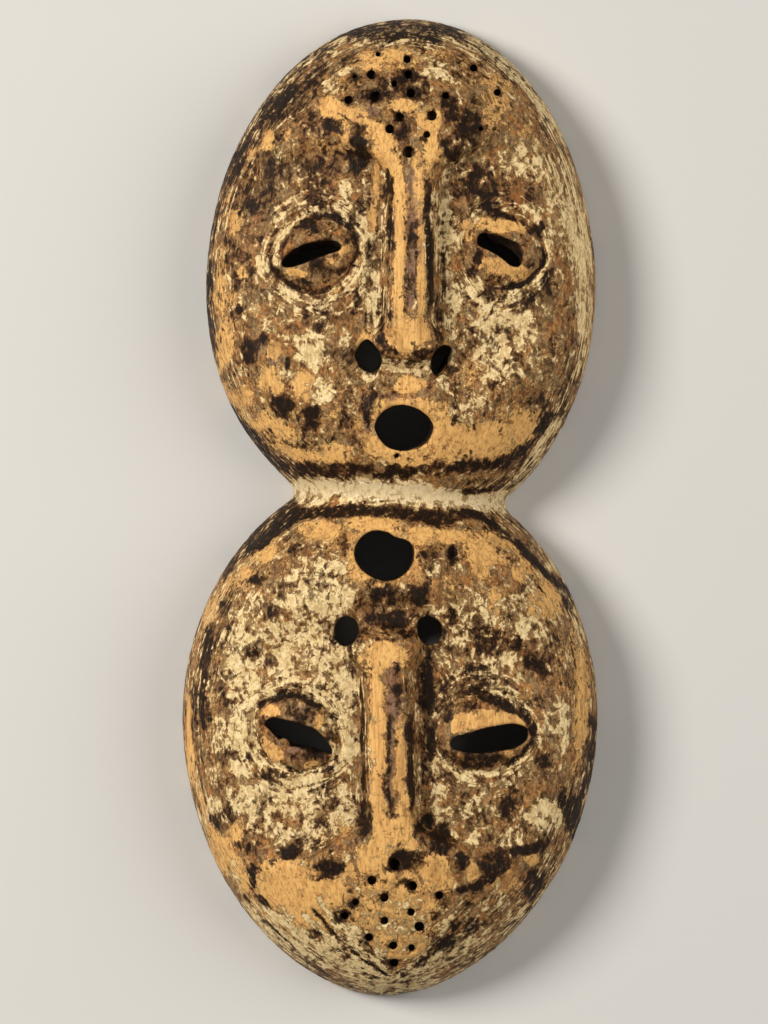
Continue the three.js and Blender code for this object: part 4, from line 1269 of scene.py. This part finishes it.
def face_streaks(face, u, v):
    """Each run of streaks on a face: the places across and along it in mm, and how strong it is."""
    radius = plan_radius(face, u, v)[0]
    outline = ramp(*OUTLINE_STREAKS, radius)
    if face is LOWER:
        across = (np.abs(u) + v - V_MARKS_TIP) / math.sqrt(2)
        in_marks = (1 - ramp(*V_MARKS_SIDE, np.abs(across))) * (1 - ramp(*V_MARKS_END, np.abs(u)))
        yield across, (np.abs(u) - v) / math.sqrt(2), in_marks
        outline = outline * (1 - in_marks)
    size = (face.half_width + face.crown) / 2
    turn = np.arctan2(u, np.abs(v) * face.half_width / face.crown)
    yield radius * size, turn * size, outline
    for eye in face.eyes:
        out = lid_distance(eye, u, v)
        turn = np.arctan2((v - eye["at"][1]) * eye["half"][0] / eye["half"][1], u - eye["at"][0])
        yield out, turn * max(eye["half"]), ramp(*EYE_STREAKS, out) * (1 - ramp(*EYE_STREAKS_END, out))
    across = np.abs(u - nose_axis(face, v)) - NOSE_SIDE
    beside = ramp(*NOSE_SIDE_START, across) * (1 - ramp(*NOSE_SIDE_END, across))
    yield u, v, beside * along_nose(NOSE_STREAK_START, NOSE_STREAK_END, v)


def streak_places(points):
    """Places in mm across and along the streaks of paint, and how strong the streaks are.

    They follow the outline near the edge, the lids round the eyes and the sides of the noses.
    """
    x, y, z = points.T
    places, strengths = [], []
    for face in FACES:
        here = (y > NECK_Y) == (face is UPPER)
        for across, along, strength in face_streaks(face, *face.local(x, y)):
            places.append(np.stack([across, along, z], axis=1))
            strengths.append(here * strength)
    strengths = np.array(strengths)
    order = np.argsort(strengths, axis=0)
    best, rows = order[-1], np.arange(len(points))
    share = strengths[best, rows] - strengths[order[-2], rows]
    return np.array(places)[best, rows], share


# Colours, as they are read off a screen
SCREEN_FOOT, SCREEN_SLOPE, SCREEN_SHIFT, SCREEN_POWER = 0.04045, 12.92, 0.055, 2.4


def linear(value):
    value /= 255
    if value <= SCREEN_FOOT:
        return value / SCREEN_SLOPE
    return ((value + SCREEN_SHIFT) / (1 + SCREEN_SHIFT)) ** SCREEN_POWER


def shade(red, green, blue):
    """A colour from its screen values of 0 to 255."""
    return (linear(red), linear(green), linear(blue), 1)


RAW_WOOD = (shade(236, 187, 113), shade(212, 158, 93), shade(152, 104, 58))
WORN = (shade(152, 123, 84), shade(96, 76, 51))
WARM_WORN = (shade(176, 120, 66), shade(112, 73, 39))
CLAY = (shade(134, 108, 70), shade(188, 156, 104), shade(222, 192, 134), shade(240, 216, 166))
THIN_CLAY = (shade(150, 108, 64), shade(204, 156, 96))
# cream clay painted brighter than the other clay, as painted light on the neck band
NECK_CLAY_AND_HIGHLIGHT = (shade(238, 216, 168), shade(252, 238, 198))
# dark patina colours, used also for the painted shade in the cuts, round the holes, along the outline, at the
# edges of flakes and in the pits of the mottle
PATINA_AND_SHADE = (shade(116, 78, 45), shade(98, 76, 48), shade(68, 42, 18), shade(25, 13, 4))
VIOLET_STAIN = shade(128, 96, 84)
RUSTED = shade(128, 74, 36)
# near-black colours of the painted shade inside the holes and dots
HOLE_SHADE_COLOURS = (shade(50, 35, 23), shade(16, 10, 6))
BACK = (shade(116, 88, 60), shade(76, 56, 38), shade(150, 118, 82))

# Noises by name: the size of the blots in mm, the seed, how far they are drawn out along the mask,
# the detail, the roughness and the distortion
NOISES = {
    "grain": (0.8, 1, 14, 3, 0.6, 0), "wide_grain": (4.5, 2, 7, 2, 0.5, 0), "blot": (7, 5, 1.3, 4, 0.6, 0.8),
    "other_blot": (7, 6, 1.2, 4, 0.6, 0.8), "clump": (3, 3, 1.5, 3, 0.6, 0.8),
    "other_clump": (3.2, 4, 1.2, 3, 0.6, 0.8), "crumb": (1.2, 7, 1.3, 3, 0.6, 0.5),
    "other_crumb": (1.3, 10, 1.3, 3, 0.6, 0.5), "mottle": (1.9, 12, 1.3, 5, 0.7, 0),
    "patch": (14, 11, 1.2, 3, 0.6, 0), "warmth": (5, 13, 1.3, 3, 0.6, 0.8),
}
STREAK = (1.6, 9, 14, 4, 0.7, 0.3)
SEED_SHIFT = (17.3, 5.1, 9.7)  # sets the noises of two seeds apart
# Layers of paint by name: the attribute they start from, how far the streaks move them, and the noises
# that break them up, each with how far it moves them
LAYERS = {
    "wood": ("wood", 0, dict(other_blot=1.3, clump=1.3, crumb=0.468)),
    "rust": ("rust", 0, dict(blot=1.54, crumb=1.1)),
    "pale": ("pale", 2.2, dict(blot=1.04, other_clump=1.56, crumb=0.78)),
    "violet": ("violet", 0, dict(other_blot=1.2, clump=1)),
    "dark": ("dark", -1.7,
             dict(patch=0.52, other_blot=1.17, clump=1.43, other_clump=-1.17, other_crumb=0.884)),
    "pale_crumbs": ("pale", 0, dict(other_crumb=2.4, other_clump=1.6)),
    # the thickest clay, on the neck band, carries the painted light
    "neck_clay_and_highlight": ("pale", 0, {}), "back": ("back", 0, {}), "inside": ("inside", 0, {}),
}
# Paints: a colour and the coats over it. A coat has the noise or layer that lays it on, the values at
# which it begins and is full (with a third, it is full at the second alone), how much of it shows, and
# its colour or paint.
RAW = [RAW_WOOD[1], ("grain", (0.38, 0.62), 1, RAW_WOOD[0]), ("wide_grain", (0.5, 0.7), 0.4, RAW_WOOD[2]),
       ("grain", (0.42, 0.3), 0.5, RAW_WOOD[2])]
WARM_WOOD = [WARM_WORN[1], ("mottle", (0.38, 0.6), 1, WARM_WORN[0])]
WORN_WOOD = [WORN[1], ("mottle", (0.38, 0.6), 1, WORN[0]), ("warmth", (0.42, 0.6), 1, WARM_WOOD),
             ("grain", (0.45, 0.65), 0.3, RAW_WOOD[1])]
WARM_CLAY = [THIN_CLAY[0], ("mottle", (0.4, 0.6), 1, THIN_CLAY[1])]
RUBBED_CLAY = [CLAY[0], ("mottle", (0.4, 0.6), 1, CLAY[1]), ("warmth", (0.42, 0.6), 0.7, WARM_CLAY)]
FULL_CLAY = [CLAY[2], ("mottle", (0.4, 0.62), 1, CLAY[3])]
NECK_PAINT_AND_HIGHLIGHT = [NECK_CLAY_AND_HIGHLIGHT[0], ("mottle", (0.35, 0.55), 1, NECK_CLAY_AND_HIGHLIGHT[1])]
# the first dark coat: stain, and painted shade where the dark share comes from the form
STAIN_AND_SHADE = [PATINA_AND_SHADE[0], ("patch", (0.42, 0.6), 1, PATINA_AND_SHADE[1])]
BACK_WOOD = [BACK[1], ("blot", (0.38, 0.62), 1, BACK[0]), ("grain", (0.5, 0.66), 0.5, BACK[2])]
# the wall of a hole or dot, as painted shade
SHADED_HOLE_WALL = [HOLE_SHADE_COLOURS[1], ("mottle", (0.35, 0.65), 1, HOLE_SHADE_COLOURS[0])]
MASK_PAINT = [
    WORN_WOOD,
    ("wood", (0.4, 0.5), 1, RAW),
    # This coat and the two dark coats round the clay below are dark rims at the edges of the flakes: dirt and
    # painted shadow.
    ("wood", (0.28, 0.4, 0.48), 0.5, PATINA_AND_SHADE[2]),
    ("rust", (0.4, 0.7), 0.6, RUSTED),
    ("pale", (0.24, 0.35, 0.42), 0.45, PATINA_AND_SHADE[2]),
    ("pale", (0.36, 0.46), 1, RUBBED_CLAY),
    ("pale", (0.46, 0.53, 0.57), 0.4, PATINA_AND_SHADE[2]),
    ("pale", (0.52, 0.62), 1, FULL_CLAY),
    # on the neck band this is painted light over the cream clay; elsewhere it gives the brightest flecks of
    # clay
    ("pale", (0.95, 1.3), 1, CLAY[3]),
    # the neck band's cream clay with painted light
    ("neck_clay_and_highlight", (0.8, 1.05), 1, NECK_PAINT_AND_HIGHLIGHT),
    ("violet", (0.36, 0.66), 0.7, VIOLET_STAIN),
    # the dark coats carry patina and stains, and the painted shade of the form
    ("dark", (0.36, 0.5), 0.8, STAIN_AND_SHADE),
    ("dark", (0.48, 0.7), 1, PATINA_AND_SHADE[2]),
    ("dark", (0.64, 0.9), 1, PATINA_AND_SHADE[3]),
    ("pale_crumbs", (0.75, 0.95), 0.55, CLAY[1]),
    # dark in the low spots of the mottle, where the bump is lowest: dirt and painted shade in the pits of the
    # crust
    ("mottle", (0.5, 0.3), 0.35, PATINA_AND_SHADE[2]),
    ("grain", (0.56, 0.7), 0.25, PATINA_AND_SHADE[0]),
    ("back", (), 1, BACK_WOOD),
    # painted shade inside the holes and dots, over all else
    ("inside", (0.1, 0.8), 1, SHADED_HOLE_WALL),
]
MOTTLE_HEIGHT, GRAIN_HEIGHT, CLAY_HEIGHT, CLAY_STEP = 0.7, 0.4, 0.25, (0.4, 0.52)
BUMP = {"Strength": 0.55, "Distance": 0.8 * MM}
LEAST_ROUGH, BLOT_ROUGH = 0.45, 0.4
SPECULAR = 0.15


class Nodes:
    """Short ways to build a material from nodes. Lengths of noise are in mm."""

    def __init__(self, name):
        self.material = bpy.data.materials.new(name)
        self.material.use_nodes = True
        self.tree = self.material.node_tree
        self.tree.nodes.clear()

    def add(self, kind, inputs=None, **settings):
        node = self.tree.nodes.new(kind)
        for key, value in settings.items():
            setattr(node, key, value)
        for key, value in (inputs or {}).items():
            if isinstance(value, bpy.types.NodeSocket):
                self.tree.links.new(value, node.inputs[key])
            else:
                node.inputs[key].default_value = value
        return node

    def finish(self, **inputs):
        """Ends the material with its surface."""
        surface = self.add("ShaderNodeBsdfPrincipled", {key.replace("_", " "): inputs[key] for key in inputs})
        output = self.add("ShaderNodeOutputMaterial")
        self.tree.links.new(surface.outputs[0], output.inputs[0])
        return self.material

    def math(self, operation, *values):
        return self.add("ShaderNodeMath", dict(enumerate(values)), operation=operation).outputs[0]

    def vector(self, operation, *values):
        return self.add("ShaderNodeVectorMath", dict(enumerate(values)), operation=operation).outputs[0]

    def attribute(self, name, output="Fac"):
        return self.add("ShaderNodeAttribute", attribute_name=name).outputs[output]

    def noise(self, place, size, seed, stretch, detail, roughness, distortion):
        moved = self.vector("MULTIPLY", place, (1, 1 / stretch, 1))
        moved = self.vector("ADD", moved, tuple(shift * seed for shift in SEED_SHIFT))
        inputs = {"Vector": moved, "Scale": 1 / size, "Detail": detail, "Roughness": roughness,
                  "Distortion": distortion}
        return self.add("ShaderNodeTexNoise", inputs).outputs["Fac"]

    def step(self, value, *places):
        """0 at the first place and 1 at the second, smooth between; with a third, 0 again there."""
        if not places:
            return value
        inputs = {"Value": value, "From Min": places[0], "From Max": places[1], "To Min": 0, "To Max": 1}
        rise = self.add("ShaderNodeMapRange", inputs, interpolation_type="SMOOTHSTEP").outputs["Result"]
        if len(places) == 2:
            return rise
        return self.math("MULTIPLY", rise, self.step(value, *places[:0:-1]))

    def blend(self, share, first, second):
        inputs = {0: share, 6: first, 7: second}
        return self.add("ShaderNodeMix", inputs, data_type="RGBA").outputs[2]

    def paint(self, fields, paint):
        """The colour of a paint with its coats, over the noises and layers that lay them on."""
        if isinstance(paint, tuple):
            return paint
        colour = self.paint(fields, paint[0])
        for field, places, most, coat in paint[1:]:
            share = self.math("MULTIPLY", self.step(fields[field], *places), most)
            colour = self.blend(share, colour, self.paint(fields, coat))
        return colour


def paint_fields(n):
    """The noises of the material and its layers of paint, broken up by them."""
    place = n.add("ShaderNodeTexCoord").outputs["Object"]
    place = n.vector("MULTIPLY", place, (1 / MM,) * 3)
    fields = {name: n.noise(place, *sizes) for name, sizes in NOISES.items()}
    streak = n.noise(n.attribute("flow", "Vector"), *STREAK)
    streaks = n.math("MULTIPLY", n.math("SUBTRACT", streak, 0.5), n.attribute("flow_share"))
    levels = {}
    for name, (attribute, streaked, shares) in LAYERS.items():
        levels[name] = n.attribute(attribute)
        for noise, share in shares.items():
            off = n.math("SUBTRACT", fields[noise], 0.5)
            levels[name] = n.math("MULTIPLY_ADD", off, share, levels[name])
        if streaked:
            levels[name] = n.math("MULTIPLY_ADD", streaks, streaked, levels[name])
    return fields | levels


def wood_material():
    n = Nodes("painted_wood")
    fields = paint_fields(n)
    height = n.math("MULTIPLY", fields["mottle"], MOTTLE_HEIGHT)
    height = n.math("MULTIPLY_ADD", fields["grain"], GRAIN_HEIGHT, height)
    height = n.math("MULTIPLY_ADD", n.step(fields["pale"], *CLAY_STEP), CLAY_HEIGHT, height)
    bump = n.add("ShaderNodeBump", {"Height": height, **BUMP})
    roughness = n.math("MULTIPLY_ADD", fields["blot"], BLOT_ROUGH, LEAST_ROUGH)
    return n.finish(Base_Color=n.paint(fields, MASK_PAINT), Roughness=roughness, Normal=bump.outputs[0],
                    Specular_IOR_Level=SPECULAR)


FLOOR_REACH = 6
FLOOR_DROP = 0.0003  # keeps the floor just under the rim
FLOOR_COLOUR = (0.62, 0.61, 0.59, 1)
FLOOR_ROUGHNESS = 0.85
FLOOR_CORNERS = ((-1, -1), (1, -1), (1, 1), (-1, 1))
# Lights: place and size in metres, power and colour
LIGHTS = {
    "key": ((-1.5, 0.5, 1.55), 0.8, 50, (1, 0.96, 0.9)),
    "fill": ((1.7, 0.2, 1.4), 1.8, 26, (1, 0.96, 0.9)),
}
SKY_COLOUR, SKY_STRENGTH = (1, 0.98, 0.95, 1), 0.16


def add_floor():
    mesh = bpy.data.meshes.new("floor")
    corners = [(sx * FLOOR_REACH, sy * FLOOR_REACH, -FLOOR_DROP) for sx, sy in FLOOR_CORNERS]
    mesh.from_pydata(corners, [], [(0, 1, 2, 3)])
    floor = bpy.data.objects.new("floor", mesh)
    mesh.materials.append(Nodes("pale_floor").finish(Base_Color=FLOOR_COLOUR, Roughness=FLOOR_ROUGHNESS))
    bpy.context.scene.collection.objects.link(floor)


def add_light(name, place, size, power, colour):
    light = bpy.data.lights.new(name, "AREA")
    light.shape = "DISK"
    light.size = size
    light.energy = power
    light.color = colour
    holder = bpy.data.objects.new(name, light)
    holder.location = place
    holder.rotation_euler = (-Vector(place)).to_track_quat("-Z", "Y").to_euler()
    bpy.context.scene.collection.objects.link(holder)


def add_lights():
    for name, light in LIGHTS.items():
        add_light(name, *light)
    world = bpy.data.worlds.new("soft_sky")
    world.use_nodes = True
    sky = world.node_tree.nodes["Background"]
    sky.inputs["Color"].default_value = SKY_COLOUR
    sky.inputs["Strength"].default_value = SKY_STRENGTH
    bpy.context.scene.world = world
    bpy.context.scene.view_settings.view_transform = "Standard"


def write_sizes():
    bpy.context.view_layer.update()


mask = carved_piece()
painted(mask)
mask.data.materials.append(wood_material())
add_floor()
add_lights()
add_camera()
write_sizes()
